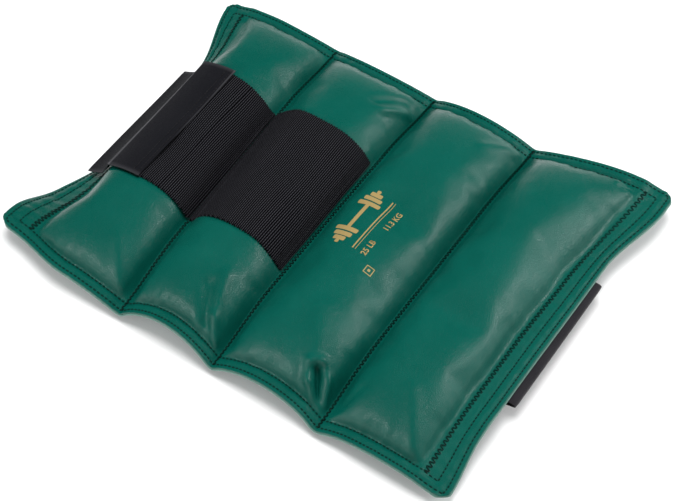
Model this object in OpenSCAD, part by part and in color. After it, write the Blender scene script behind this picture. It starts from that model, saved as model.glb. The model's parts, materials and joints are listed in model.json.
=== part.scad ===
// Ankle cuff weight: a vinyl pad of four sewn pockets, each holding a bag of steel shot,
// closed by a wide elastic strap with a hook tab and a folded loop strap.
// X runs along the wrap, Y across it, Z up from the surface that the pad lies on.

/* [Pad] */
// Distance between the sewn seams of the two middle pockets
pocket_pitch = 92; // [88:1:94]
// Width of an end pocket, from its seam to the zigzag row that closes it
end_pocket_w = 82; // [80:1:86]
// Width of the pad across the wrap, hem to hem
pad_w = 305; // [296:1:312]
// Length of the flap outside the zigzag row, at the middle of the pad
flap_l = 22; // [20:1:26]
// How much further the flap reaches at its corners
corner_flare = 10; // [6:1:12]
// Width of the sewn hem along the long edges
hem_w = 11; // [9:1:13]
// Thickness of one vinyl sheet
sheet_t = 1.2; // [1:0.1:1.4]

/* [Filling] */
// Height of the seam plane above the floor
seam_z = 19; // [18:0.5:20]
// Rise of a pocket above the seam plane
top_rise = 22; // [20:0.5:24]
// Steepness of a pocket below the seam plane; the floor cuts it flat
low_drop = 22; // [21:0.5:23]
// Wall of the plastic bag that holds the shot
liner_t = 0.4; // [0.3:0.1:0.6]

/* [Closure] */
// Width of the elastic, the hook tab and the loop strap
strap_w = 125; // [110:1:130]
// Thickness of the woven tape
tape_t = 1.6; // [1.4:0.1:1.8]
// Length of the folded-back part of the loop strap
loop_tail_l = 40; // [36:1:42]
// Tilt of the folded-back part, whose end lies on the floor
loop_tail_tilt = 17; // [16:0.5:17]

/* [Hidden] */
vinyl = "#0b5e52";
thread_colour = "#083b34";
webbing = "#101114";

seam_flat = 3;          // flat stitched margin on each side of a seam
hinge_gap = 1.5;        // from a fold line to the sheet edge beside it
thread_r = 1;           // thread bead along a fold line
ply_gap = 0.05;         // between the two sheets where they are sewn together
clear = 0.3;            // between neighbours that move apart
hem_half_t = ply_gap + sheet_t;
top_power = 2.4;        // shape of a pocket across the wrap
end_power = 6;          // shape of a pocket towards its ends
crown_power = 0.6;

seam_x = [-pocket_pitch, 0, pocket_pitch];
close_x = pocket_pitch + end_pocket_w;         // zigzag rows, at plus and minus this
half_w = pad_w / 2;
fill_half_w = half_w - hem_w;                  // inner stitch row of the long hems
flare_y = 3;                                   // corners reach this far past the hem line

// Fold lines on each side of pocket n, and the centre and half width of its hollow.
function left_x(n) = n == 1 ? -close_x : seam_x[n - 2];
function right_x(n) = n == 4 ? close_x : seam_x[n - 1];
function hollow_left(n) = left_x(n) + (n == 1 ? 1 : seam_flat);
function hollow_right(n) = right_x(n) - (n == 4 ? 1 : seam_flat);
function mid_x(n) = (hollow_left(n) + hollow_right(n)) / 2;
function half_x(n) = (hollow_right(n) - hollow_left(n)) / 2;

// Shares of the half width and half length at which a pocket is drawn.
across = [for (k = [0:8]) -cos(180 * k / 8)];
along = [for (k = [-5:5]) sign(k) * (1 - pow(1 - abs(k) / 5, 1.8))];

function across_share(u) = pow(max(0, 1 - pow(abs(u), top_power)), crown_power);
function along_share(v) = pow(max(0, 1 - pow(abs(v), end_power)), crown_power);
function inside(u, v) = abs(u) < 1 && abs(v) < 1;
function rise_at(u, v) = inside(u, v) ? across_share(u) * along_share(v) : 0;
function drop_at(u, v) = inside(u, v) ? (1 - u * u) * along_share(v) : 0;

// Reach of a flap's edge at y.
function flap_reach(y) = flap_l + corner_flare * pow(abs(y) / half_w, 4);

function grid_faces(nx, ny, base, flip) = [
    for (i = [0:nx - 2], j = [0:ny - 2], half = [0, 1])
        let (a = base + i * ny + j, b = a + ny, c = b + 1, d = a + 1,
             t = half == 0 ? [a, b, c] : [a, c, d])
        flip ? t : [t[0], t[2], t[1]]
];
function rim(nx, ny) = concat(
    [for (i = [0:nx - 1]) i * ny],
    [for (j = [1:ny - 1]) (nx - 1) * ny + j],
    [for (i = [nx - 2:-1:0]) i * ny + ny - 1],
    [for (j = [ny - 2:-1:1]) j]
);
function rim_faces(nx, ny) =
    let (r = rim(nx, ny), n = len(r), low = nx * ny)
    [for (k = [0:n - 1], half = [0, 1])
        let (p = r[k], q = r[(k + 1) % n])
        half == 0 ? [p, q, low + q] : [p, low + q, low + p]];

// A soft sheet or cushion: grid points in plan, with an upper and a lower height at each.
module soft_body(plan, high, low) {
    nx = len(plan);
    ny = len(plan[0]);
    top = [for (i = [0:nx - 1], j = [0:ny - 1]) [plan[i][j][0], plan[i][j][1], high(plan[i][j])]];
    under = [for (i = [0:nx - 1], j = [0:ny - 1]) [plan[i][j][0], plan[i][j][1], low(plan[i][j])]];
    polyhedron(
        concat(top, under),
        concat(grid_faces(nx, ny, 0, false), grid_faces(nx, ny, nx * ny, true), rim_faces(nx, ny))
    );
}

// Plan of a cover: the pocket's own grid, its seam margins, its hems and, on an end pocket, the flap.
function cover_rows() = concat([-half_w], fill_half_w * along, [half_w]);
function cover_columns(n) = concat(
    n == 1 ? [[-close_x - hinge_gap, 1], [-close_x - hinge_gap, 0]] : [[left_x(n) + hinge_gap, 0]],
    [for (u = across) [mid_x(n) + u * half_x(n), 0]],
    n == 4 ? [[close_x + hinge_gap, 0], [close_x + hinge_gap, 1]] : [[right_x(n) - hinge_gap, 0]]
);
function cover_plan(n) = [
    for (c = cover_columns(n)) [
        for (y = cover_rows())
            let (way = n == 1 ? -1 : 1,
                 out = c[1] * (flap_reach(y) - hinge_gap),
                 splay = c[1] * flare_y * y / half_w)
            [c[0] + way * out, y + splay]
    ]
];

module cover_top(n) {
    bulge = function(p) top_rise * rise_at((p[0] - mid_x(n)) / half_x(n), p[1] / fill_half_w);
    color(vinyl)
        soft_body(
            cover_plan(n),
            function(p) seam_z + hem_half_t + bulge(p),
            function(p) seam_z + ply_gap + bulge(p)
        );
}

module cover_bottom(n) {
    deepest = seam_z - ply_gap - sheet_t;
    bulge = function(p)
        min(deepest, low_drop * drop_at((p[0] - mid_x(n)) / half_x(n), p[1] / fill_half_w));
    color(vinyl)
        soft_body(
            cover_plan(n),
            function(p) seam_z - ply_gap - bulge(p),
            function(p) seam_z - ply_gap - sheet_t - bulge(p)
        );
}

// A closed cushion inside pocket n, drawn in by inset on every side.
module cushion(n, inset) {
    rim_h = 0.5;
    side = half_x(n) - inset * 2.5;
    end = fill_half_w - inset * 2.5;
    floor_z = sheet_t + inset;
    plan = [for (u = across) [for (v = along) [mid_x(n) + u * side, v * end]]];
    soft_body(
        plan,
        function(p) seam_z + rim_h
            + (top_rise - rim_h - inset) * rise_at((p[0] - mid_x(n)) / side, p[1] / end),
        function(p) max(floor_z, seam_z - rim_h
            - (low_drop - rim_h - inset) * drop_at((p[0] - mid_x(n)) / side, p[1] / end))
    );
}

liner_inset = 1.0;
module liner_bag(n) {
    color("#d9dde0")
        difference() {
            cushion(n, liner_inset);
            cushion(n, liner_inset + liner_t);
        }
}

module shot_fill(n) {
    color("#6f7377") cushion(n, liner_inset + liner_t + 0.3);
}

// A thread bead that lies along a fold line.
module bead(x, z, length, r) {
    translate([x, length / 2, z]) rotate([90, 0, 0]) cylinder(h = length, r = r, $fn = 32);
}

module seam_thread(k) {
    color(thread_colour) bead(seam_x[k - 1], seam_z, pad_w - 4, thread_r);
}

// A flat thread line: points in plan, drawn as a ribbon on top of the hem.
module thread_line(points, w = 0.8) {
    h = 0.5;
    ribbon = concat(
        [for (p = points) [p[0] - w / 2, p[1]]],
        [for (k = [len(points) - 1:-1:0]) [points[k][0] + w / 2, points[k][1]]]
    );
    translate([0, 0, seam_z + hem_half_t]) linear_extrude(h) polygon(ribbon);
}

outer_row = 3;          // from the hem's edge to the outer stitch row
inner_row = 9.5;        // from the hem's edge to the inner stitch row
row_w = 0.8;
module hem_thread(n) {
    margin = 4;
    start = left_x(n) + margin;
    length = right_x(n) - margin - start;
    color(thread_colour)
        for (side = [-1, 1], row = [outer_row, inner_row])
            translate([start, side * (half_w - row) - row_w / 2, seam_z + hem_half_t])
                cube([length, row_w, 0.5]);
}

module end_hem_thread(way) {
    end_margin = 4;
    color(thread_colour)
        for (row = [outer_row, inner_row])
            thread_line([
                for (k = [-8:8])
                    let (y = (half_w - end_margin) * k / 8)
                    [way * (close_x + flap_reach(y) - row), y]
            ]);
}

module zigzag_thread(way) {
    bite = 5;           // width of the zigzag
    step = 4;           // advance of one stitch
    stitches = floor(fill_half_w / step);
    color(thread_colour)
        thread_line([
            for (k = [-stitches:stitches])
                [way * (close_x + 2.6 + (k % 2 == 0 ? 0 : bite)), k * step]
        ]);
}

// A tape that follows pocket n between two x values, from low to high above the vinyl.
elastic_lift = clear;
function tape_half(n) = half_x(n) + seam_flat - hinge_gap;
function tape_z(n, x, lift) =
    seam_z + hem_half_t + lift + top_rise * rise_at((x - mid_x(n)) / (tape_half(n) + lift * 0.6), 0);

module tape(n, from, to, low, high) {
    steps = 22;
    xs = [for (k = [0:steps]) from + (to - from) * (1 - cos(180 * k / steps)) / 2];
    section = concat(
        [for (x = xs) [x, tape_z(n, x, low)]],
        [for (k = [steps:-1:0]) [xs[k], tape_z(n, xs[k], high)]]
    );
    translate([0, strap_w / 2, 0]) rotate([90, 0, 0]) linear_extrude(strap_w) polygon(section);
}

tab_x = -136;           // sewn edge of the hook tab, on the crown of pocket 1
fold_bead_r = 0.7;
fold_z = seam_z + hem_half_t + clear + fold_bead_r;     // fold line of the elastic, at the first seam

module elastic_band() {
    color(webbing)
        tape(2, seam_x[0] + hinge_gap, seam_x[1] - hinge_gap, elastic_lift, elastic_lift + tape_t);
}

module band_thread() {
    top = elastic_lift + tape_t;
    color("#26282d")
        for (x = [-3.4, -6])
            tape(2, seam_x[1] + x - row_w, seam_x[1] + x, top, top + 0.5);
}

strap_bend_x = -110;    // fold line of the free elastic, on the shoulder of pocket 1
strap_bend_z = tape_z(1, strap_bend_x, elastic_lift + tape_t / 2);
strap_end_gap = tape_t / 2 + clear + 0.4;
module strap_root() {
    color(webbing)
        union() {
            bead(strap_bend_x, strap_bend_z, strap_w, tape_t / 2);
            tape(1, strap_bend_x, seam_x[0] - hinge_gap, elastic_lift, elastic_lift + tape_t);
        }
}

module strap_end() {
    color(webbing)
        tape(1, tab_x + hinge_gap, strap_bend_x - strap_end_gap, elastic_lift, elastic_lift + tape_t);
}

module strap_thread() {
    color("#26282d") bead(seam_x[0], fold_z, strap_w, fold_bead_r);
}

tab_z = tape_z(1, tab_x, elastic_lift + tape_t / 2);
module tab_thread() {
    color("#26282d") bead(tab_x, tab_z, strap_w, 0.9);
}

// Hook tab: over the shoulder of pocket 1, down its side, and out over the flap as a lip to pull.
function tab_path() = concat(
    [for (k = [0:5]) let (x = tab_x - hinge_gap - k * 5.6) [x, tape_z(1, x, elastic_lift + 0.4)]],
    [[-172.2, 29.6], [-175.4, 23.6], [-179.5, 22.0], [-189, 21.8]]
);
module band_of(path, from, to) {
    n = len(path);
    way = [for (k = [0:n - 1])
        let (d = path[min(k + 1, n - 1)] - path[max(k - 1, 0)])
        [d[1], -d[0]] / norm(d)];
    section = concat(
        [for (k = [0:n - 1]) path[k] + way[k] * from],
        [for (k = [n - 1:-1:0]) path[k] + way[k] * to]
    );
    translate([0, strap_w / 2, 0]) rotate([90, 0, 0]) linear_extrude(strap_w) polygon(section);
}

module hook_tab() {
    color("#202126") band_of(tab_path(), 0, 1.2);
}

module hook_pile() {
    lip = [for (k = [len(tab_path()) - 2:len(tab_path()) - 1]) tab_path()[k]];
    color("#2b2c31") band_of(lip, -0.75, -0.05);
}

// Loop strap: sewn under the right flap, folded back beneath it.
loop_z = seam_z - hem_half_t - clear - tape_t;   // underside of the sewn part
fold_x = close_x + flap_l + 3.4;
fold_r = 1.2;
tail_fold_z = loop_z - clear - fold_r;
module loop_strap() {
    color(webbing)
        translate([close_x + 1, -strap_w / 2, loop_z])
            cube([fold_x - close_x - 1, strap_w, tape_t]);
}

module loop_thread() {
    color("#26282d")
        for (x = [3, 8])
            translate([close_x + x, -strap_w / 2 + 3, loop_z - 0.5])
                cube([row_w, strap_w - 6, 0.5]);
}

module on_tail() {
    translate([fold_x, 0, tail_fold_z]) rotate([0, -loop_tail_tilt, 0]) children();
}

module loop_tail() {
    color(webbing)
        union() {
            bead(fold_x, tail_fold_z, strap_w, fold_r);
            on_tail()
                translate([-loop_tail_l, -strap_w / 2, -tape_t / 2])
                    cube([loop_tail_l, strap_w, tape_t]);
        }
}

module loop_pile() {
    margin = 4;
    color("#2b2c31")
        on_tail()
            translate([-loop_tail_l + 1, -strap_w / 2 + 2, -tape_t / 2 - 0.6])
                cube([loop_tail_l - margin, strap_w - 4, 0.6]);
}

// Printed weight mark on pocket 3: a plain bar and two lines, laid on the vinyl.
module weight_mark() {
    film = 0.25;
    skin = function(p)
        seam_z + hem_half_t + top_rise * rise_at((p[0] - mid_x(3)) / half_x(3), p[1] / fill_half_w);
    bars = [[24, 34, -26, 26], [40, 42, -30, 30], [48, 53, -22, 22]];
    color("#b39a62")
        for (b = bars)
            soft_body(
                [for (i = [0:3]) [for (k = [0:4])
                    [b[0] + (b[1] - b[0]) * i / 3, b[2] + (b[3] - b[2]) * k / 4]]],
                function(p) skin(p) + film + 0.25,
                function(p) skin(p) + film
            );
}

cover_top(1);  // cover_top_1
cover_top(2);  // cover_top_2
cover_top(3);  // cover_top_3
cover_top(4);  // cover_top_4
cover_bottom(1);  // cover_bottom_1
cover_bottom(2);  // cover_bottom_2
cover_bottom(3);  // cover_bottom_3
cover_bottom(4);  // cover_bottom_4
liner_bag(1);  // liner_bag_1
liner_bag(2);  // liner_bag_2
liner_bag(3);  // liner_bag_3
liner_bag(4);  // liner_bag_4
shot_fill(1);  // shot_fill_1
shot_fill(2);  // shot_fill_2
shot_fill(3);  // shot_fill_3
shot_fill(4);  // shot_fill_4
seam_thread(1);  // seam_thread_1
seam_thread(2);  // seam_thread_2
seam_thread(3);  // seam_thread_3
hem_thread(1);  // hem_thread_1
hem_thread(2);  // hem_thread_2
hem_thread(3);  // hem_thread_3
hem_thread(4);  // hem_thread_4
end_hem_thread(-1);  // end_hem_thread_left
end_hem_thread(1);  // end_hem_thread_right
zigzag_thread(-1);  // zigzag_thread_left
zigzag_thread(1);  // zigzag_thread_right
elastic_band();
band_thread();
strap_root();
strap_end();
strap_thread();
hook_tab();
hook_pile();
tab_thread();
loop_strap();
loop_thread();
loop_tail();
loop_pile();
weight_mark();
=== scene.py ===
"""Ankle cuff weight: a sewn vinyl pad of four shot-filled pockets, with an elastic strap that ends
in a hook tab, and a loop strap.

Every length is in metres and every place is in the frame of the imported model.
"""

import json
import logging
import math
from dataclasses import dataclass, field
from enum import Enum
from typing import Optional, Sequence

import bmesh
import bpy
import numpy as np
from mathutils import Matrix, Vector
from mathutils.bvhtree import BVHTree

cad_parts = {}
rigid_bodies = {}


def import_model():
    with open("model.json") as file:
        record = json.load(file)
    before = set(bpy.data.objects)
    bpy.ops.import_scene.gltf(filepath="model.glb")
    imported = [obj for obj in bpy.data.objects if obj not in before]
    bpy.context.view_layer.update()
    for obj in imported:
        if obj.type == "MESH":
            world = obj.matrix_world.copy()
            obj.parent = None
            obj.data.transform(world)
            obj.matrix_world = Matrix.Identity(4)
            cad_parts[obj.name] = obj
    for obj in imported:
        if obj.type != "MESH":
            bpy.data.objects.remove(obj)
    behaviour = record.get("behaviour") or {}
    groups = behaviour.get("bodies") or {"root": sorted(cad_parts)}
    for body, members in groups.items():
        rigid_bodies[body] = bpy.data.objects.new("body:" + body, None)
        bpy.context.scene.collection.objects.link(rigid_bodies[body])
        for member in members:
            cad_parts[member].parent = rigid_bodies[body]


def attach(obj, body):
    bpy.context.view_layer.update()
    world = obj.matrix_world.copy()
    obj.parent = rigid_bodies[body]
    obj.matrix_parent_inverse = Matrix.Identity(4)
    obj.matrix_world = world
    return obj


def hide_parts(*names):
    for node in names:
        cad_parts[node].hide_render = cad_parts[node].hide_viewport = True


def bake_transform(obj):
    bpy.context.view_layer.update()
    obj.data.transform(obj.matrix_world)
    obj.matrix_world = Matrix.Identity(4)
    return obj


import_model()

Piece = bpy.types.Object
Material = bpy.types.Material
Node = bpy.types.Node
NodeTree = bpy.types.NodeTree
Socket = bpy.types.NodeSocket
Triple = tuple[float, float, float]
Path = list[tuple[Vector, Vector]]

log = logging.getLogger("cuff")
MM = 0.001
POCKETS = 4
TURN = 2.0 * math.pi


class Sheet(Enum):
    """The two vinyl sheets of the pad."""

    TOP = 1
    BOTTOM = -1


class Side(Enum):
    """The two ends of the wrap: the tab end and the loop strap end."""

    LEFT = -1
    RIGHT = 1


# ---------------------------------------------------------------- small helpers


def smooth(value: np.ndarray, start: float, end: float) -> np.ndarray:
    """Rise smoothly from 0 at start to 1 at end."""
    share = np.clip((np.asarray(value, float) - start) / (end - start), 0.0, 1.0)
    return share * share * (3.0 - 2.0 * share)


def hump(value: np.ndarray, middle: float, width: float) -> np.ndarray:
    """Bell curve of height 1 about middle."""
    return np.exp(-(((np.asarray(value, float) - middle) / width) ** 2))


def grid_normals(points: np.ndarray) -> np.ndarray:
    """Work out a normal at each point of a grid.

    Args:
        points: Grid of positions, columns by rows by 3, columns along +X and rows along +Y.

    Returns:
        Unit normals that point up for a flat grid.
    """
    across = np.gradient(points, axis=0)
    along = np.gradient(points, axis=1)
    normals = np.cross(across, along)
    size = np.linalg.norm(normals, axis=2, keepdims=True)
    return normals / np.maximum(size, 1e-12)


def spread(values: np.ndarray, axis: int, times: int) -> np.ndarray:
    """Refine a grid along one axis with a smooth curve through its points.

    Args:
        values: Grid of positions or of one number per point.
        axis: 0 for columns, 1 for rows.
        times: How many steps replace each step.

    Returns:
        The refined grid.
    """
    work = np.moveaxis(values, axis, 0)
    first, last = 2 * work[0] - work[1], 2 * work[-1] - work[-2]
    padded = np.concatenate([first[None], work, last[None]])
    rows = []
    for k in range(len(work) - 1):
        a, b, c, d = padded[k], padded[k + 1], padded[k + 2], padded[k + 3]
        for step in range(times):
            h = step / times
            rows.append(
                0.5
                * (
                    2 * b
                    + (c - a) * h
                    + (2 * a - 5 * b + 4 * c - d) * h**2
                    + (3 * b - a - 3 * c + d) * h**3
                )
            )
    rows.append(work[-1])
    return np.moveaxis(np.array(rows), 0, axis)


def deselect_all() -> None:
    """Leave nothing selected."""
    for item in bpy.context.view_layer.objects:
        item.select_set(False)


def only(item: Piece) -> None:
    """Make one object the only one selected, and the active one."""
    deselect_all()
    item.select_set(True)
    bpy.context.view_layer.objects.active = item


def mesh_piece(name: str, points: np.ndarray, faces: Sequence[Sequence[int]]) -> Piece:
    """Make an object from points and faces, shaded smooth.

    Args:
        name: Name of the object.
        points: Positions, one row each.
        faces: Point numbers of each face.

    Returns:
        The new object, linked to the scene.
    """
    mesh = bpy.data.meshes.new(name)
    mesh.from_pydata([tuple(p) for p in points], [], [tuple(int(i) for i in f) for f in faces])
    mesh.update()
    mesh.polygons.foreach_set("use_smooth", [True] * len(mesh.polygons))
    piece = bpy.data.objects.new(name, mesh)
    bpy.context.scene.collection.objects.link(piece)
    return piece


def sharpen(piece: Piece, degrees: float) -> None:
    """Keep edges steeper than an angle crisp and the rest smooth."""
    only(piece)
    bpy.ops.object.shade_smooth_by_angle(angle=math.radians(degrees))


def paint(piece: Piece, material: Material) -> None:
    """Give a piece one material."""
    piece.data.materials.clear()
    piece.data.materials.append(material)


def report(piece: Piece, body: str) -> None:
    """Log one finished piece."""
    log.info("%s on %s, %d faces", piece.name, body, len(piece.data.polygons))


def stand_for(piece: Piece, slot: str, *nodes: str) -> None:
    """Hide the CAD nodes that a finished piece is drawn for."""
    if nodes:
        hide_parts(*nodes)


def fix_to(piece: Piece, body: str, slot: str, *nodes: str) -> None:
    """Hide the CAD nodes of a finished piece, and let it ride on one body.

    Args:
        piece: The piece, final and unparented.
        body: The body that it moves with.
        slot: Its material slot; not used.
        nodes: The CAD nodes that it is drawn for.
    """
    stand_for(piece, slot, *nodes)
    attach(piece, body)
    report(piece, body)


# ---------------------------------------------------------------- finishes


def set_inputs(node: Node, values: dict[str, float]) -> None:
    """Set some inputs of a node by name."""
    for key, value in values.items():
        node.inputs[key].default_value = value


class Nodes:
    """A thin layer over a node tree that adds and joins nodes."""

    def __init__(self, tree: NodeTree) -> None:
        """Work on one node tree."""
        self.tree = tree

    def add(self, kind: str, **settings: object) -> Node:
        """Add a node.

        Args:
            kind: Blender's name of the node type.
            settings: Properties of the node.

        Returns:
            The new node.
        """
        node = self.tree.nodes.new(kind)
        for key, value in settings.items():
            setattr(node, key, value)
        return node

    def texture(self, kind: str, source: Socket, values: dict[str, float], **settings: object) -> Node:
        """Add a texture.

        Args:
            kind: Kind of texture, such as Noise.
            source: Coordinates.
            values: Numbers for its inputs, by name.
            settings: Properties of the node.

        Returns:
            The texture's node.
        """
        node = self.add(f"ShaderNodeTex{kind}", **settings)
        set_inputs(node, values)
        self.join(source, node.inputs["Vector"])
        return node

    def join(self, source: Socket, target: Socket) -> None:
        """Link an output to an input."""
        self.tree.links.new(source, target)

    def math(self, operation: str, first: object, second: object = None) -> Socket:
        """Add a Math node.

        Args:
            operation: Blender's name of the operation.
            first: Socket or number for the first input.
            second: Socket or number for the second input.

        Returns:
            The result's socket.
        """
        node = self.add("ShaderNodeMath", operation=operation)
        for place, value in enumerate((first, second)):
            if value is None:
                continue
            if isinstance(value, Socket):
                self.join(value, node.inputs[place])
            else:
                node.inputs[place].default_value = float(value)
        return node.outputs[0]

    def scaled(self, source: Socket, by: float, plus: float) -> Socket:
        """Multiply a value, then add to it."""
        return self.math("ADD", self.math("MULTIPLY", source, by), plus)

    def rest(self, source: Socket) -> Socket:
        """What a value lacks to 1."""
        return self.math("SUBTRACT", 1.0, source)

    def ramp(self, source: Socket, stops: Sequence[tuple[float, float]]) -> Socket:
        """Reshape a value with a grey ramp.

        Args:
            source: Value to reshape.
            stops: Positions and grey levels.

        Returns:
            The ramp's colour socket.
        """
        node = self.add("ShaderNodeValToRGB")
        elements = node.color_ramp.elements
        while len(elements) < len(stops):
            elements.new(0.5)
        for element, (place, level) in zip(elements, stops):
            element.position = place
            element.color = (level, level, level, 1.0)
        self.join(source, node.inputs[0])
        return node.outputs[0]

    def blend(self, mask: Socket, low: object, high: object) -> Socket:
        """Mix two colours by a mask.

        Args:
            mask: 0 gives low and 1 gives high.
            low: Colour or socket.
            high: Colour or socket.

        Returns:
            The mixed colour.
        """
        node = self.add("ShaderNodeMix", data_type="RGBA")
        self.join(mask, node.inputs[0])
        for place, value in ((6, low), (7, high)):
            if isinstance(value, Socket):
                self.join(value, node.inputs[place])
            else:
                node.inputs[place].default_value = (*value, 1.0)
        return node.outputs[2]


def new_group(name: str, inputs: Sequence[tuple[str, str, object]],
              outputs: Sequence[tuple[str, str]]) -> tuple:
    """Start a shader node group with named sockets.

    Args:
        name: Name of the group.
        inputs: Name, socket type and default of each input.
        outputs: Name and socket type of each output.

    Returns:
        The group's tree, its input node and its output node.
    """
    tree = bpy.data.node_groups.new(name, "ShaderNodeTree")
    for label, kind, default in inputs:
        socket = tree.interface.new_socket(label, in_out="INPUT", socket_type=kind)
        if default is not None:
            socket.default_value = default
    for label, kind in outputs:
        tree.interface.new_socket(label, in_out="OUTPUT", socket_type=kind)
    return tree, tree.nodes.new("NodeGroupInput"), tree.nodes.new("NodeGroupOutput")


class Effects:
    """Shader node groups that several finishes share."""

    def __init__(self) -> None:
        """Build every group once."""
        self.grain = self._grain()
        self.tone = self._tone()
        self.weave = self._weave()
        self.fuzz = self._fuzz()
        self.ribs = self._ribs()

    def _grain(self) -> NodeTree:
        """Leather-like grain: small cells with creases between them, broken up by a finer noise."""
        tree, start, end = new_group(
            "leather_grain",
            [("Vector", "NodeSocketVector", None), ("Scale", "NodeSocketFloat", 900.0)],
            [("Height", "NodeSocketFloat"), ("Mask", "NodeSocketFloat")],
        )
        nodes = Nodes(tree)
        place = start.outputs["Vector"]
        warp = nodes.texture("Noise", place, {"Scale": 420.0, "Detail": 2.0}, noise_dimensions="3D")
        shift = nodes.add("ShaderNodeVectorMath", operation="MULTIPLY_ADD")
        shift.inputs[1].default_value = (0.0009, 0.0009, 0.0009)
        nodes.join(warp.outputs["Color"], shift.inputs[0])
        nodes.join(place, shift.inputs[2])
        cells = nodes.texture("Voronoi", shift.outputs[0], {}, feature="DISTANCE_TO_EDGE")
        nodes.join(start.outputs["Scale"], cells.inputs["Scale"])
        crease = nodes.ramp(cells.outputs["Distance"], [(0.0, 0.0), (0.16, 0.75), (0.5, 1.0)])
        fine = nodes.texture("Noise", place, {"Scale": 2600.0, "Detail": 3.0})
        small = nodes.math("MULTIPLY", fine.outputs["Fac"], 0.45)
        nodes.join(nodes.math("ADD", crease, small), end.inputs["Height"])
        nodes.join(crease, end.inputs["Mask"])
        return tree

    def _tone(self) -> NodeTree:
        """Slow changes of tone, and rubbed patches."""
        tree, start, end = new_group(
            "tone_and_wear",
            [
                ("Vector", "NodeSocketVector", None),
                ("Size", "NodeSocketFloat", 18.0),
                ("Rub", "NodeSocketFloat", 0.5),
            ],
            [("Tone", "NodeSocketFloat"), ("Wear", "NodeSocketFloat")],
        )
        nodes = Nodes(tree)
        place = start.outputs["Vector"]
        slow = nodes.texture("Noise", place, {"Detail": 4.0, "Roughness": 0.55})
        nodes.join(start.outputs["Size"], slow.inputs["Scale"])
        tone = nodes.ramp(slow.outputs["Fac"], [(0.3, 0.0), (0.7, 1.0)])
        rub = nodes.texture("Noise", place, {"Scale": 60.0, "Detail": 8.0, "Roughness": 0.7})
        patches = nodes.ramp(rub.outputs["Fac"], [(0.5, 0.0), (0.72, 1.0)])
        nodes.join(tone, end.inputs["Tone"])
        nodes.join(nodes.math("MULTIPLY", patches, start.outputs["Rub"]), end.inputs["Wear"])
        return tree

    def _weave(self) -> NodeTree:
        """Plain weave from two crossed waves on the piece's own UV map, in metres."""
        tree, start, end = new_group(
            "plain_weave",
            [
                ("Vector", "NodeSocketVector", None),
                ("Across", "NodeSocketFloat", 1200.0),
                ("Along", "NodeSocketFloat", 1200.0),
            ],
            [("Height", "NodeSocketFloat"), ("Gaps", "NodeSocketFloat")],
        )
        nodes = Nodes(tree)
        parts = nodes.add("ShaderNodeSeparateXYZ")
        nodes.join(start.outputs["Vector"], parts.inputs[0])
        a = nodes.math("MULTIPLY", nodes.math("MULTIPLY", parts.outputs[0], start.outputs["Across"]), TURN)
        b = nodes.math("MULTIPLY", nodes.math("MULTIPLY", parts.outputs[1], start.outputs["Along"]), TURN)
        over = nodes.math("MULTIPLY", nodes.math("SINE", a), nodes.math("SINE", b))
        ripple = nodes.math("ABSOLUTE", nodes.math("SINE", nodes.math("MULTIPLY", b, 0.5)))
        height = nodes.math("ADD", nodes.math("MULTIPLY", over, 0.5), nodes.math("MULTIPLY", ripple, 0.6))
        nodes.join(height, end.inputs["Height"])
        gaps = nodes.ramp(height, [(0.0, 1.0), (0.35, 0.0)])
        nodes.join(gaps, end.inputs["Gaps"])
        return tree

    def _ribs(self) -> NodeTree:
        """Lit crests of a ribbed tape, broken into short knitted bars across each rib."""
        tree, start, end = new_group(
            "tape_ribs",
            [
                ("Vector", "NodeSocketVector", None),
                ("Per Metre", "NodeSocketFloat", 560.0),
                ("Bars", "NodeSocketFloat", 420.0),
            ],
            [("Crest", "NodeSocketFloat")],
        )
        nodes = Nodes(tree)
        parts = nodes.add("ShaderNodeSeparateXYZ")
        nodes.join(start.outputs["Vector"], parts.inputs[0])
        count = nodes.math("MULTIPLY", parts.outputs[0], start.outputs["Per Metre"])
        rib = nodes.math("MULTIPLY", count, math.pi)
        crest = nodes.math("POWER", nodes.math("ABSOLUTE", nodes.math("SINE", rib)), 12.0)
        bar = nodes.math("MULTIPLY", nodes.math("MULTIPLY", parts.outputs[1], start.outputs["Bars"]), math.pi)
        skewed = nodes.math("ADD", bar, nodes.math("MULTIPLY", rib, 0.5))
        across = nodes.math("ABSOLUTE", nodes.math("SINE", skewed))
        dash = nodes.ramp(across, [(0.15, 0.25), (0.55, 1.0)])
        nodes.join(nodes.math("MULTIPLY", crest, dash), end.inputs["Crest"])
        return tree

    def _fuzz(self) -> NodeTree:
        """Short pile or brushed fibre: tight speckle with tufts."""
        tree, start, end = new_group(
            "fibre_fuzz",
            [("Vector", "NodeSocketVector", None), ("Scale", "NodeSocketFloat", 1500.0)],
            [("Height", "NodeSocketFloat"), ("Tufts", "NodeSocketFloat")],
        )
        nodes = Nodes(tree)
        cells = nodes.texture("Voronoi", start.outputs["Vector"], {}, feature="F1")
        nodes.join(start.outputs["Scale"], cells.inputs["Scale"])
        noise = nodes.texture("Noise", start.outputs["Vector"], {"Scale": 700.0, "Detail": 6.0})
        round_tops = nodes.rest(cells.outputs["Distance"])
        nodes.join(nodes.math("ADD", round_tops, nodes.math("MULTIPLY", noise.outputs["Fac"], 0.8)),
                   end.inputs["Height"])
        nodes.join(nodes.ramp(noise.outputs["Fac"], [(0.35, 0.0), (0.65, 1.0)]), end.inputs["Tufts"])
        return tree


def start_material(name: str) -> tuple[Material, Nodes, Node, Socket]:
    """Start a material with a Principled shader.

    Args:
        name: Name of the material.

    Returns:
        The material, its nodes, its Principled node and the piece's own coordinates.
    """
    material = bpy.data.materials.new(name)
    material.use_nodes = True
    nodes = Nodes(material.node_tree)
    shader = next(n for n in material.node_tree.nodes if n.type == "BSDF_PRINCIPLED")
    return material, nodes, shader, nodes.add("ShaderNodeTexCoord").outputs["Object"]


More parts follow.
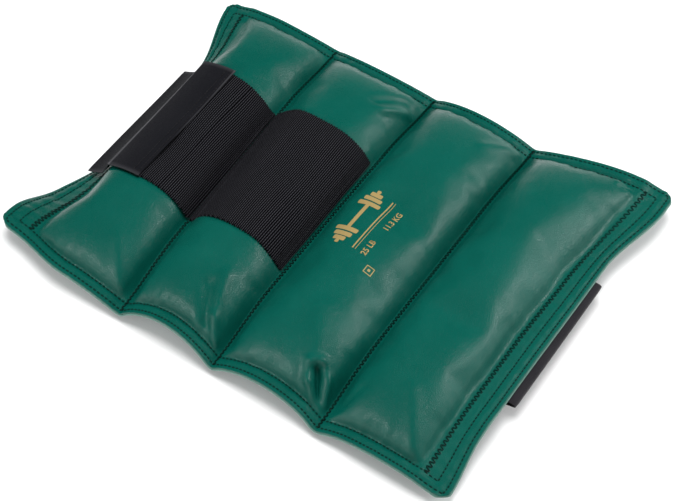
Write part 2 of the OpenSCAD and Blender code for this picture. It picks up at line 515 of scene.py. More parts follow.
def group_node(nodes: Nodes, tree: NodeTree, source: Socket, **values: float) -> Node:
    """Place a shared group in a material.

    Args:
        nodes: Nodes of the material.
        tree: The group.
        source: Coordinates for its Vector input.
        values: Numbers for its other inputs, by name.

    Returns:
        The group's node.
    """
    node = nodes.add("ShaderNodeGroup")
    node.node_tree = tree
    nodes.join(source, node.inputs["Vector"])
    set_inputs(node, values)
    return node


def add_bump(nodes: Nodes, shader: Node, height: Socket, strength: float, depth: float) -> None:
    """Feed a height into the shader's normal.

    Args:
        nodes: Nodes of the material.
        shader: The Principled node.
        height: Height over the surface.
        strength: Strength of the bump, 0 to 1.
        depth: Depth of a full step, in metres.
    """
    bump = nodes.add("ShaderNodeBump")
    set_inputs(bump, {"Strength": strength, "Distance": depth})
    nodes.join(height, bump.inputs["Height"])
    nodes.join(bump.outputs["Normal"], shader.inputs["Normal"])


@dataclass(frozen=True)
class VinylFinish:
    """Green coated vinyl with a fine leather grain, and a painted highlight on the rim of its hems."""

    deep: Triple = (0.0005, 0.074, 0.055)
    light: Triple = (0.0007, 0.087, 0.066)
    worn: Triple = (0.003, 0.105, 0.078)
    # Pale colour of the painted highlight on the rim of the hems.
    backing: Triple = (0.16, 0.30, 0.25)
    roughness: float = 0.235
    grain_scale: float = 760.0
    creased: Triple = (0.0003, 0.050, 0.036)
    gloss: float = 0.34
    bump: float = 0.60
    bump_depth: float = 0.00018

    def build(self, effects: Effects) -> Material:
        """Make the material."""
        material, nodes, shader, place = start_material("green_vinyl")
        tone = group_node(nodes, effects.tone, place, Size=16.0, Rub=0.35)
        grain = group_node(nodes, effects.grain, place, Scale=self.grain_scale)
        base = nodes.blend(tone.outputs["Tone"], self.deep, self.light)
        base = nodes.blend(tone.outputs["Wear"], base, self.worn)
        creases = nodes.rest(grain.outputs["Mask"])
        creased = nodes.blend(nodes.math("MULTIPLY", creases, 0.35), base, self.creased)
        # Painted highlight: each rim point of the hems gets the pale colour by its share.
        cut = nodes.add("ShaderNodeAttribute", attribute_name="hem_edge_highlight")
        nodes.join(nodes.blend(cut.outputs["Fac"], creased, self.backing), shader.inputs["Base Color"])
        rough = nodes.scaled(tone.outputs["Tone"], 0.05, self.roughness)
        rough = nodes.math("ADD", rough, nodes.math("MULTIPLY", creases, 0.12))
        nodes.join(rough, shader.inputs["Roughness"])
        shader.inputs["Specular IOR Level"].default_value = self.gloss
        add_bump(nodes, shader, grain.outputs["Height"], self.bump, self.bump_depth)
        return material


@dataclass(frozen=True)
class ThreadFinish:
    """Twisted sewing thread."""

    name: str
    dark: Triple
    light: Triple
    roughness: float = 0.62

    def build(self, effects: Effects) -> Material:
        """Make the material."""
        material, nodes, shader, place = start_material(self.name)
        strands = nodes.texture("Wave", place, {"Scale": 900.0, "Distortion": 0.6}, wave_type="BANDS",
                                bands_direction="DIAGONAL")
        fuzz = group_node(nodes, effects.fuzz, place, Scale=6000.0)
        mask = nodes.math("MULTIPLY", strands.outputs["Fac"], fuzz.outputs["Tufts"])
        nodes.join(nodes.blend(mask, self.dark, self.light), shader.inputs["Base Color"])
        nodes.join(nodes.scaled(fuzz.outputs["Tufts"], 0.15, self.roughness), shader.inputs["Roughness"])
        shader.inputs["Specular IOR Level"].default_value = 0.3
        add_bump(nodes, shader, strands.outputs["Fac"], 0.6, 0.00008)
        return material


@dataclass(frozen=True)
class WovenFinish:
    """Woven tape or elastic, with a weave that follows the tape's own length, and painted highlights on the
    rib crests and on the tab's ridge and edges.
    """

    name: str
    dark: Triple
    light: Triple
    across: float
    along: float
    roughness: float = 0.75
    strength: float = 0.7
    depth: float = 0.00025
    sheen: float = 0.15
    ribs: float = 0.0
    gloss: float = 0.28
    # Colour of the painted highlight on the rib crests.
    rib_crest_highlight: Triple = (0.062, 0.062, 0.072)
    # Colour of the painted highlight on the tab's ridge and edges.
    tab_rim_highlight: Triple = (0.090, 0.090, 0.098)

    def build(self, effects: Effects) -> Material:
        """Make the material."""
        material, nodes, shader, place = start_material(self.name)
        tape = nodes.add("ShaderNodeUVMap", uv_map="tape").outputs["UV"]
        weave = group_node(nodes, effects.weave, tape, Across=self.across, Along=self.along)
        tone = group_node(nodes, effects.tone, place, Size=40.0, Rub=0.6)
        fuzz = group_node(nodes, effects.fuzz, place, Scale=2600.0)
        lit = nodes.math("MULTIPLY", nodes.rest(weave.outputs["Gaps"]),
                         nodes.scaled(tone.outputs["Tone"], 0.45, 0.4))
        lit = nodes.math("ADD", lit, nodes.math("MULTIPLY", tone.outputs["Wear"], 0.35))
        colour = nodes.blend(lit, self.dark, self.light)
        if self.ribs:
            crest = nodes.add("ShaderNodeGroup")
            crest.node_tree = effects.ribs
            crest.inputs["Per Metre"].default_value = self.ribs
            nodes.join(tape, crest.inputs["Vector"])
            # Painted highlight: the rib crests get a much lighter colour.
            colour = nodes.blend(crest.outputs["Crest"], colour, self.rib_crest_highlight)
        # Painted highlight: the tab's ridge, sewn edge and cut ends, marked in the rim attribute, get a
        # lighter colour.
        rim = nodes.add("ShaderNodeAttribute", attribute_name="rim")
        colour = nodes.blend(rim.outputs["Fac"], colour, self.tab_rim_highlight)
        nodes.join(colour, shader.inputs["Base Color"])
        nodes.join(nodes.scaled(fuzz.outputs["Tufts"], 0.12, self.roughness), shader.inputs["Roughness"])
        set_inputs(shader, {"Specular IOR Level": self.gloss, "Sheen Weight": self.sheen,
                            "Sheen Roughness": 0.5})
        height = nodes.math("ADD", weave.outputs["Height"],
                            nodes.math("MULTIPLY", fuzz.outputs["Height"], 0.15))
        add_bump(nodes, shader, height, self.strength, self.depth)
        return material


@dataclass(frozen=True)
class PileFinish:
    """Loop pile or moulded hooks."""

    name: str
    dark: Triple
    light: Triple
    scale: float
    roughness: float = 0.9

    def build(self, effects: Effects) -> Material:
        """Make the material."""
        material, nodes, shader, place = start_material(self.name)
        fuzz = group_node(nodes, effects.fuzz, place, Scale=self.scale)
        nodes.join(nodes.blend(fuzz.outputs["Tufts"], self.dark, self.light), shader.inputs["Base Color"])
        gleam = nodes.math("MULTIPLY", fuzz.outputs["Tufts"], 0.15)
        nodes.join(nodes.math("SUBTRACT", self.roughness, gleam), shader.inputs["Roughness"])
        shader.inputs["Sheen Weight"].default_value = 0.3
        add_bump(nodes, shader, fuzz.outputs["Height"], 0.9, 0.0006)
        return material


@dataclass(frozen=True)
class FoilFinish:
    """Gold foil print with small wear holes."""

    gold: Triple = (0.46, 0.33, 0.13)
    dull: Triple = (0.34, 0.26, 0.11)

    def build(self, effects: Effects) -> Material:
        """Make the material."""
        material, nodes, shader, place = start_material("gold_foil")
        tone = group_node(nodes, effects.tone, place, Size=220.0, Rub=1.0)
        grain = group_node(nodes, effects.grain, place, Scale=950.0)
        nodes.join(nodes.blend(tone.outputs["Wear"], self.gold, self.dull), shader.inputs["Base Color"])
        nodes.join(nodes.math("SUBTRACT", 0.35, nodes.math("MULTIPLY", tone.outputs["Wear"], 0.25)),
                   shader.inputs["Metallic"])
        nodes.join(nodes.scaled(tone.outputs["Tone"], 0.15, 0.34), shader.inputs["Roughness"])
        add_bump(nodes, shader, grain.outputs["Height"], 0.4, 0.0001)
        return material


@dataclass(frozen=True)
class FilmFinish:
    """Thin milky bag film with heat-seal creases."""

    def build(self, effects: Effects) -> Material:
        """Make the material."""
        material, nodes, shader, place = start_material("bag_film")
        tone = group_node(nodes, effects.tone, place, Size=90.0, Rub=0.4)
        nodes.join(nodes.blend(tone.outputs["Tone"], (0.62, 0.66, 0.68), (0.80, 0.83, 0.84)),
                   shader.inputs["Base Color"])
        nodes.join(nodes.scaled(tone.outputs["Tone"], 0.2, 0.15), shader.inputs["Roughness"])
        add_bump(nodes, shader, tone.outputs["Tone"], 0.5, 0.001)
        return material


@dataclass(frozen=True)
class ShotFinish:
    """Packed steel shot, each ball about 2.5 mm across."""

    def build(self, effects: Effects) -> Material:
        """Make the material."""
        material, nodes, shader, place = start_material("steel_shot")
        balls = nodes.texture("Voronoi", place, {"Scale": 380.0}, feature="F1")
        tone = group_node(nodes, effects.tone, place, Size=200.0, Rub=0.8)
        shade = nodes.rest(balls.outputs["Distance"])
        nodes.join(nodes.blend(shade, (0.03, 0.03, 0.032), (0.33, 0.34, 0.35)), shader.inputs["Base Color"])
        nodes.join(nodes.scaled(tone.outputs["Tone"], 0.25, 0.35), shader.inputs["Roughness"])
        shader.inputs["Metallic"].default_value = 0.9
        add_bump(nodes, shader, shade, 1.0, 0.0012)
        return material


@dataclass(frozen=True)
class FloorFinish:
    """Plain pale floor with a faint mottle."""

    def build(self, effects: Effects) -> Material:
        """Make the material."""
        material, nodes, shader, place = start_material("pale_floor")
        tone = group_node(nodes, effects.tone, place, Size=6.0, Rub=0.2)
        nodes.join(nodes.blend(tone.outputs["Tone"], (0.90, 0.90, 0.90), (0.93, 0.93, 0.93)),
                   shader.inputs["Base Color"])
        set_inputs(shader, {"Roughness": 0.9, "Specular IOR Level": 0.1})
        return material


class Palette:
    """Every material of the cuff, built once."""

    def __init__(self) -> None:
        """Build the shared effects and then the materials."""
        effects = Effects()
        self.vinyl = VinylFinish().build(effects)
        self.thread = ThreadFinish("green_thread", (0.0003, 0.009, 0.007),
                                   (0.001, 0.030, 0.022)).build(effects)
        self.dark_thread = ThreadFinish("grey_thread", (0.006, 0.006, 0.007),
                                        (0.030, 0.030, 0.034)).build(effects)
        self.elastic = WovenFinish("black_elastic", (0.0003, 0.0003, 0.0005), (0.0014, 0.0014, 0.0021),
                                   across=1180.0, along=700.0, roughness=0.85, strength=0.9,
                                   depth=0.0003, sheen=0.0, ribs=1000.0 / 1.6, gloss=0.06).build(effects)
        self.backing = WovenFinish("tab_backing", (0.0060, 0.0062, 0.0085), (0.0100, 0.0102, 0.0130),
                                   across=1700.0, along=1700.0, roughness=0.60, strength=0.30,
                                   depth=0.00010, sheen=0.0).build(effects)
        self.webbing = WovenFinish("loop_webbing", (0.008, 0.007, 0.009), (0.022, 0.020, 0.025),
                                   across=900.0, along=900.0, roughness=0.7, strength=0.6,
                                   depth=0.0002, sheen=0.1).build(effects)
        self.hooks = PileFinish("moulded_hooks", (0.010, 0.010, 0.012), (0.035, 0.035, 0.038), 1400.0,
                                roughness=0.6).build(effects)
        self.pile = PileFinish("loop_pile", (0.008, 0.008, 0.009), (0.030, 0.028, 0.031),
                               900.0).build(effects)
        self.foil = FoilFinish().build(effects)
        self.film = FilmFinish().build(effects)
        self.shot = ShotFinish().build(effects)
        self.floor = FloorFinish().build(effects)


# ---------------------------------------------------------------- the pad's shape


@dataclass(frozen=True)
class Fold:
    """A soft fold or dent in the top sheet, along a short line between two nominal places."""

    start: tuple[float, float]
    end: tuple[float, float]
    width: float
    height: float

    def lift(self, s: np.ndarray, t: np.ndarray) -> np.ndarray:
        """Height of the fold at each nominal place; a dent is below zero."""
        ax, ay = self.start
        dx, dy = self.end[0] - ax, self.end[1] - ay
        along = ((s - ax) * dx + (t - ay) * dy) / (dx * dx + dy * dy)
        share = np.clip(along, 0.0, 1.0)
        away = np.hypot(s - ax - share * dx, t - ay - share * dy)
        return self.height * np.exp(-((away / self.width) ** 2))


@dataclass
class PadShape:
    """Sizes of the sewn pad, and its shape before the cloth is let go.

    A point on the pad has two nominal coordinates: s along the wrap and t across it. They are where
    the point would be on a pad with straight seams and hems.
    """

    seams: Triple = (-0.092, 0.0, 0.092)
    close: float = 0.174
    edge: float = 0.196
    half_w: float = 0.1525
    hem: float = 0.011
    web: float = 0.0022
    ply: float = 0.00125
    plane: float = 0.019
    corner: float = 0.008
    rises: tuple[float, ...] = (0.0212, 0.0235, 0.0230, 0.0230)
    drop: float = 0.022
    front_pull: tuple[float, ...] = (0.0012, 0.0048, 0.0036, 0.0010)
    back_pull: tuple[float, ...] = (0.0045, 0.0055, 0.0020, -0.0010)
    front_top: tuple[float, ...] = (0.0175, 0.0205, 0.0175, 0.0150)
    back_top: tuple[float, ...] = (0.0195, 0.0200, 0.0220, 0.0240)
    front_low: float = 0.0062
    back_low: float = 0.0100
    left_plane: float = 0.0135
    bend: float = 0.12
    foot: float = 0.050
    fold_slope: float = 1.25
    give: float = 0.016
    sewn_share: float = 0.999
    close_in: float = 0.001
    folds: tuple[Fold, ...] = (
        Fold((0.0735, -0.1250), (0.0825, -0.1370), 0.0036, -0.0081),
        Fold((0.0655, -0.1240), (0.0710, -0.1330), 0.0028, 0.0040),
        Fold((0.0710, -0.1330), (0.0830, -0.1405), 0.0026, 0.0034),
        Fold((0.0665, -0.1220), (0.0735, -0.1170), 0.0028, 0.0037),
        Fold((0.0815, -0.1230), (0.0860, -0.1350), 0.0026, 0.0034),
        Fold((0.0520, -0.0850), (0.0640, -0.1160), 0.0075, 0.0025),
        Fold((-0.0260, -0.0980), (-0.0170, -0.1280), 0.0045, 0.0028),
        Fold((-0.0170, -0.1280), (-0.0085, -0.1400), 0.0030, 0.0034),
        Fold((-0.0330, -0.1130), (-0.0180, -0.1390), 0.0055, -0.0031),
        Fold((-0.0190, 0.1010), (-0.0070, 0.1180), 0.0032, 0.0031),
        Fold((-0.0270, 0.1080), (-0.0120, 0.1270), 0.0042, -0.0028),
        Fold((0.1640, 0.1350), (0.1700, 0.1400), 0.0028, -0.0025),
        Fold((0.1560, 0.1390), (0.1690, 0.1330), 0.0022, 0.0016),
        Fold((0.0660, 0.1150), (0.0840, 0.1340), 0.0050, 0.0016),
        Fold((0.1080, -0.1180), (0.0980, -0.1380), 0.0038, -0.0016),
        Fold((0.1420, -0.1050), (0.1640, -0.1380), 0.0060, 0.0020),
        Fold((-0.1180, -0.1120), (-0.1020, -0.1360), 0.0045, 0.0016),
        Fold((-0.1640, 0.1000), (-0.1700, 0.1380), 0.0040, -0.0016),
    )

    def seam_line(self, k: int, t: np.ndarray) -> np.ndarray:
        """Real x of seam k at t; the first seam lies a little askew."""
        middle = (-0.0934, -0.0025, 0.0908)[k]
        lean = (-0.030, 0.006, 0.004)[k]
        return middle + lean * t

    def close_line(self, side: Side, t: np.ndarray) -> np.ndarray:
        """Real x of the zigzag row on one side."""
        if side is Side.RIGHT:
            return 0.1712 + 0.0030 * smooth(t, -0.020, 0.060) + 0.0095 * smooth(t, 0.050, 0.150)
        return -(0.1745 + 0.0100 * smooth(-t, 0.070, 0.150) + 0.0050 * smooth(t, 0.090, 0.150))

    def edge_line(self, side: Side, t: np.ndarray) -> np.ndarray:
        """Real x of the flap's outer edge on one side."""
        if side is Side.RIGHT:
            flare = 0.0012 * smooth(t, -0.060, 0.070) + 0.0125 * smooth(t, 0.080, 0.135)
            return 0.1938 + flare + 0.0045 * smooth(-t, 0.100, 0.150)
        return -(0.1858 + 0.0290 * smooth(-t, 0.030, 0.130) + 0.0165 * smooth(t, 0.075, 0.150))

    def real_x(self, s: np.ndarray, t: np.ndarray) -> np.ndarray:
        """Turn nominal coordinates into the real x."""
        knots = [-self.edge, -self.close, *self.seams, self.close, self.edge]
        lines = [
            self.edge_line(Side.LEFT, t), self.close_line(Side.LEFT, t),
            self.seam_line(0, t), self.seam_line(1, t), self.seam_line(2, t),
            self.close_line(Side.RIGHT, t), self.edge_line(Side.RIGHT, t),
        ]
        out = np.zeros_like(s)
        for k in range(6):
            low, high = knots[k], knots[k + 1]
            inside = (s >= low - 1e-9) & (s <= high + 1e-9)
            share = (s - low) / (high - low)
            out = np.where(inside, lines[k] * (1 - share) + lines[k + 1] * share, out)
        return out

    def pocket_wave(self, s: np.ndarray, amounts: Sequence[float], power: float) -> np.ndarray:
        """A rounded wave that is 0 at each seam and reaches an amount in each pocket.

        Args:
            s: Nominal places along the wrap.
            amounts: One amount for each pocket.
            power: Below 1 makes the wave rise faster beside the seams.

        Returns:
            The wave at each place. Past the pockets it keeps half of the end pocket's amount.
        """
        marks = [-self.edge - 0.020, *self.seams, self.edge + 0.020]
        out = np.zeros_like(s)
        full = (1 + self.bend**2) ** (power / 2) - self.bend**power
        for low, high, amount in zip(marks[:-1], marks[1:], amounts):
            inside = (s > low) & (s < high)
            share = np.clip((s - low) / (high - low), 0, 1) ** 0.90
            wave = (np.sin(np.pi * share) ** 2 + self.bend**2) ** (power / 2) - self.bend**power
            out = np.where(inside, amount * wave / full, out)
        return out

    def hem_y(self, s: np.ndarray, back: np.ndarray) -> np.ndarray:
        """Distance of the long hem from the middle, at s, on the back or the front."""
        pull_front = self.pocket_wave(s, self.front_pull, 0.7)
        pull_back = self.pocket_wave(s, self.back_pull, 0.7)
        flare_back = 0.0140 * smooth(s, 0.098, self.edge) - 0.0035 * smooth(-s, 0.140, self.edge)
        flare_front = -0.0110 * smooth(-s, 0.140, self.edge)
        front = self.half_w + 0.0008 - pull_front + flare_front + 0.0015 * hump(s, 0.092, 0.012)
        return np.where(back, self.half_w + 0.0008 - pull_back + flare_back, front)

    def hem_z(self, s: np.ndarray, back: np.ndarray) -> np.ndarray:
        """Height of the long hem: low at the seams and high in the middle of a pocket."""
        front_rise = [top - self.front_low for top in self.front_top]
        back_rise = [top - self.back_low for top in self.back_top]
        front = self.front_low + self.pocket_wave(s, front_rise, 0.60)
        return np.where(back, self.back_low + self.pocket_wave(s, back_rise, 0.64), front)

    def flap_z(self, side: Side, t: np.ndarray) -> np.ndarray:
        """Height of a flap's outer edge."""
        if side is Side.RIGHT:
            crinkle = 0.0013 * np.sin(t / 0.0165 + 0.6) * smooth(np.abs(t), 0.066, 0.090)
            return 0.0178 - 0.0070 * smooth(-t, 0.080, 0.150) + crinkle
        crinkle = 0.0011 * np.sin(t / 0.0125) * smooth(np.abs(t), 0.070, 0.095)
        return 0.0042 + 0.0125 * smooth(-t, 0.085, 0.150) + 0.0095 * smooth(t, 0.090, 0.150) + crinkle

    def middle_z(self, s: np.ndarray, t: np.ndarray) -> np.ndarray:
        """Height of the plane between the two sheets."""
        base = self.plane - (self.plane - self.left_plane) * smooth(-s, 0.100, self.close)
        ends = smooth(np.abs(t), 0.064, self.half_w) ** 1.5
        z = base + ends * (self.hem_z(s, t > 0) - base)
        for side in Side:
            out = np.clip((s * side.value - self.close) / (self.edge - self.close), 0.0, 1.0)
            fall = out**0.9
            z = z * (1 - fall) + self.flap_z(side, t) * fall
        return z

    def hollow(self, s: np.ndarray, t: np.ndarray) -> tuple[np.ndarray, np.ndarray, np.ndarray]:
        """Find the pocket's own coordinates.

        Args:
            s: Nominal place along the wrap.
            t: Nominal place across it.

        Returns:
            The pocket's number from 0 to 3, or -1 outside, and u and v from -1 to 1.
        """
        lows = [-self.close + self.close_in, *(seam + self.web for seam in self.seams)]
        highs = [*(seam - self.web for seam in self.seams), self.close - self.close_in]
        number = np.full(s.shape, -1)
        u = np.ones_like(s)
        for k, (low, high) in enumerate(zip(lows, highs)):
            inside = (s > low) & (s < high)
            number = np.where(inside, k, number)
            u = np.where(inside, (s - (low + high) / 2) / ((high - low) / 2), u)
        return number, u, t / (self.half_w - self.hem)

    def fold_room(self, s: np.ndarray, x: np.ndarray) -> np.ndarray:
        """Height that the underside stays above beside a hinge, so that two pockets can fold together."""
        number = np.searchsorted(self.seams, s)
        hinges = np.array([-1.0, *self.seams, 1.0])
        away = np.minimum(x - hinges[number], hinges[number + 1] - x)
        return self.plane - self.fold_slope * np.maximum(away - 0.001, 0.0)

    def sheets(self, s: np.ndarray, t: np.ndarray, middle: np.ndarray) -> tuple[np.ndarray, np.ndarray]:
        """Heights of the top and the bottom sheet over and under the plane between them."""
        number, u, v = self.hollow(s, t)
        au, av = np.clip(np.abs(u), 0, 1), np.clip(np.abs(v), 0, 1)
        steep = (number == 0) & (u < 0)
        across = np.where(steep, (1 - au**3.3) ** 0.50, (1 - au**2.6) ** 0.58)
        across = across * (1 - np.exp(-(1 - au) / self.foot)) / (1 - math.exp(-1 / self.foot))
        along = (1 - av**5.0) ** 0.62
        front = np.clip(-t / 0.12, -1, 1)
        tilt = np.where(number <= 1, 0.0014 * front, 0.0006 * front)
        lumps = 0.0006 * np.sin(t / 0.027 + 2.1 * number + 3.0 * u)
        lumps = lumps + 0.0004 * np.sin(t / 0.0143 - 1.7 * number)
        rise = np.take(np.array([*self.rises, 0.0]), number) + tilt + lumps + self.plane - middle
        full = across * along
        top = middle + self.ply + np.where(number >= 0, rise * full, 0.0)
        low = np.where(number >= 0, self.drop * (1 - au * au) * along, 0.0)
        return top, np.maximum(middle - self.ply - low, 0.0006)

    def columns(self) -> np.ndarray:
        """Nominal places of the cloth's columns."""
        out: list[float] = list(np.linspace(-self.edge, -self.close, 7)[:-1])
        marks = [-self.close, *self.seams, self.close]
        even = np.linspace(0, 1, 25)
        wave = (1 - np.cos(np.pi * even)) / 2
        for k in range(POCKETS):
            low = marks[k] + (0.0 if k == 0 else self.web)
            high = marks[k + 1] - (0.0 if k == 3 else self.web)
            out += list(low + (high - low) * (0.35 * wave + 0.65 * even))
            if k < 3:
                out += [marks[k + 1]]
        out += list(np.linspace(self.close, self.edge, 7)[1:])
        return np.array(out)

    def rows(self) -> np.ndarray:
        """Nominal places of the cloth's rows."""
        inner = self.half_w - self.hem
        even = np.linspace(0, 1, 85)
        wave = (1 - np.cos(np.pi * even)) / 2
        body = -inner + 2 * inner * (0.2 * wave + 0.8 * even)
        hem = np.linspace(0, self.hem, 5)[:-1]
        return np.concatenate([-self.half_w + hem, body, self.half_w - hem[::-1]])

    def rounded(self, s: np.ndarray, t: np.ndarray) -> tuple[np.ndarray, np.ndarray]:
        """Pull the nominal places near the four corners in, so that the corners are round."""
        p = np.clip(1 - (self.edge - np.abs(s)) / self.corner, 0, 1)
        q = np.clip(1 - (self.half_w - np.abs(t)) / self.corner, 0, 1)
        new_p, new_q = p * np.sqrt(1 - q * q / 2), q * np.sqrt(1 - p * p / 2)
        return s + np.sign(s) * (new_p - p) * self.corner, t + np.sign(t) * (new_q - q) * self.corner

    def grid(self) -> tuple[np.ndarray, np.ndarray, np.ndarray, np.ndarray]:
        """Lay out both sheets.

        Returns:
            Nominal s and t of each point, and the top and bottom sheets as grids of positions.
        """
        s, t = np.meshgrid(self.columns(), self.rows(), indexing="ij")
        round_s, round_t = self.rounded(s, t)
        x = self.real_x(round_s, round_t)
        stretch = smooth(np.abs(round_t), 0.075, self.half_w)
        y = round_t + np.sign(t) * stretch * (self.hem_y(round_s, t > 0) - self.half_w)
        middle = self.middle_z(s, t)
        top_z, bottom_z = self.sheets(s, t, middle)
        return s, t, np.stack([x, y, top_z], axis=2), np.stack([x, y, bottom_z], axis=2)


@dataclass
class ClothRun:
    """Settings of the cloth simulation that lets the vinyl settle over its filling."""

    frames: int = 20
    pressure: float = 3.0
    growth: float = 0.012
    cap: float = 0.0040
    bending: float = 9.0
    tension: float = 20.0
    shear: float = 8.0
    mass: float = 0.25
    damping: float = 2.0
    quality: int = 5
    calm: int = 3

    def run(self, shape: PadShape, s: np.ndarray, t: np.ndarray, top: np.ndarray,
            bottom: np.ndarray) -> tuple[np.ndarray, np.ndarray]:
        """Let both sheets settle, sewn together outside the pockets.

        Args:
            shape: Sizes of the pad.
            s: Nominal s of each point.
            t: Nominal t of each point.
            top: Top sheet before the run.
            bottom: Bottom sheet before the run.

        Returns:
            Top and bottom sheets after it.
        """
        columns, rows = s.shape
        count = columns * rows
        points = np.concatenate([top.reshape(-1, 3), bottom.reshape(-1, 3)])
        cloth = mesh_piece("cloth_run", points, closed_faces(columns, rows))
        number, _, v = shape.hollow(s, t)
        weight = np.where(number < 0, 1.0, np.where(np.abs(v) >= shape.sewn_share, 0.75, 0.0)).reshape(-1)
        group = cloth.vertex_groups.new(name="held")
        for level in (0.75, 1.0):
            chosen = [int(i) for i in np.nonzero(np.isclose(weight, level))[0]]
            group.add(chosen + [i + count for i in chosen], level, "REPLACE")
        modifier = cloth.modifiers.new("cloth", "CLOTH")
        settings = modifier.settings
        settings.quality = self.quality
        settings.mass = self.mass
        settings.tension_stiffness = self.tension
        settings.compression_stiffness = self.tension
        settings.shear_stiffness = self.shear
        settings.bending_stiffness = self.bending
        settings.air_damping = self.damping
        settings.vertex_group_mass = "held"
        settings.pin_stiffness = 1.0
        settings.shrink_min = -self.growth
        settings.use_pressure = True
        settings.uniform_pressure_force = self.pressure
        settings.effector_weights.gravity = 0.0
        modifier.collision_settings.use_self_collision = False
        modifier.collision_settings.use_collision = False
        modifier.point_cache.frame_start = 1
        modifier.point_cache.frame_end = self.frames
        scene = bpy.context.scene
        for frame_number in range(1, self.frames + 1):
            scene.frame_set(frame_number)
        settled = cloth.evaluated_get(bpy.context.evaluated_depsgraph_get())
        moved = np.empty(count * 6)
        settled.data.vertices.foreach_get("co", moved)
        scene.frame_set(1)
        bpy.data.objects.remove(cloth, do_unlink=True)
        step = moved.reshape(-1, 3) - points
        size = np.linalg.norm(step, axis=1, keepdims=True)
        log.info("cloth moved %.1f mm at most, %.1f mm on average", size.max() / MM, size.mean() / MM)
        step *= np.minimum(1.0, self.cap * np.tanh(size / self.cap) / np.maximum(size, 1e-9))
        sheets = []
        for start, part in ((top, step[:count]), (bottom, step[count:])):
            field_of_steps = part.reshape(top.shape)
            for _ in range(self.calm):
                field_of_steps = calmed(field_of_steps)
            sheets.append(start + field_of_steps)
        return sheets[0], sheets[1]


def calmed(values: np.ndarray) -> np.ndarray:
    """Smooth the inside of a grid by one step, leaving its border."""
    out = values.copy()
    out[1:-1, 1:-1] = (
        values[1:-1, 1:-1] * 2 + values[:-2, 1:-1] + values[2:, 1:-1] + values[1:-1, :-2] + values[1:-1, 2:]
    ) / 6
    return out


def sheet_faces(columns: int, rows: int) -> list[tuple[int, ...]]:
    """Faces of a top grid and of a bottom grid numbered after it, with no rim."""
    low = columns * rows
    faces = []
    for i in range(columns - 1):
        for j in range(rows - 1):
            a, b = i * rows + j, (i + 1) * rows + j
            faces.append((a, b, b + 1, a + 1))
            faces.append((a + 1 + low, b + 1 + low, b + low, a + low))
    return faces


def closed_faces(columns: int, rows: int) -> list[tuple[int, ...]]:
    """Faces of a flat bag: a top grid, a bottom grid numbered after it, and a rim between them."""
    low = columns * rows
    faces = sheet_faces(columns, rows)
    last = (columns - 1) * rows
    loop = [i * rows for i in range(columns)] + [last + j for j in range(1, rows)]
    loop += [i * rows + rows - 1 for i in range(columns - 2, -1, -1)] + list(range(rows - 2, 0, -1))
    for here, there in zip(loop, loop[1:] + loop[:1]):
        faces.append((here, here + low, there + low, there))
    return faces


@dataclass(frozen=True)
class TabProfile:
    """The side view of the hook tab: over the shoulder of pocket 1, down, and out as a lip."""

    sewn_x: float = -0.1360
    sewn_z: float = 0.0440
    ridge_x: float = -0.1668
    ridge_z: float = 0.0362
    crown: float = 0.0016
    foot_x: float = -0.1742
    foot_z: float = 0.0212
    lip_x: float = -0.1895
    lip_z: float = 0.0135
    half_w: float = 0.0628
    thick: float = 0.0012

    def path(self) -> np.ndarray:
        """Middle line of the tab, from the sewn edge to the lip, as x and z."""
        points = []
        for k in range(15):
            f = k / 14
            z = self.sewn_z + (self.ridge_z - self.sewn_z) * f + self.crown * 4 * f * (1 - f)
            points.append((self.sewn_x + (self.ridge_x - self.sewn_x) * f, z))
        for f in (0.05, 0.12, 0.30, 0.50, 0.70, 0.88, 0.97):
            points.append((self.ridge_x + (self.foot_x - self.ridge_x) * f**1.15,
                           self.ridge_z + (self.foot_z - self.ridge_z) * f))
        for f in (0.04, 0.12, 0.28, 0.46, 0.64, 0.82, 1.0):
            points.append((self.foot_x + (self.lip_x - self.foot_x) * f,
                           self.foot_z + (self.lip_z - self.foot_z) * f - 0.0006 * math.sin(math.pi * f)))
        return np.array(points)

    def ceiling(self, x: np.ndarray) -> np.ndarray:
        """Height that the vinyl under the tab stays below."""
        path = self.path()[::-1]
        return np.interp(x, path[:, 0], path[:, 1], left=1.0, right=1.0) - 0.0016


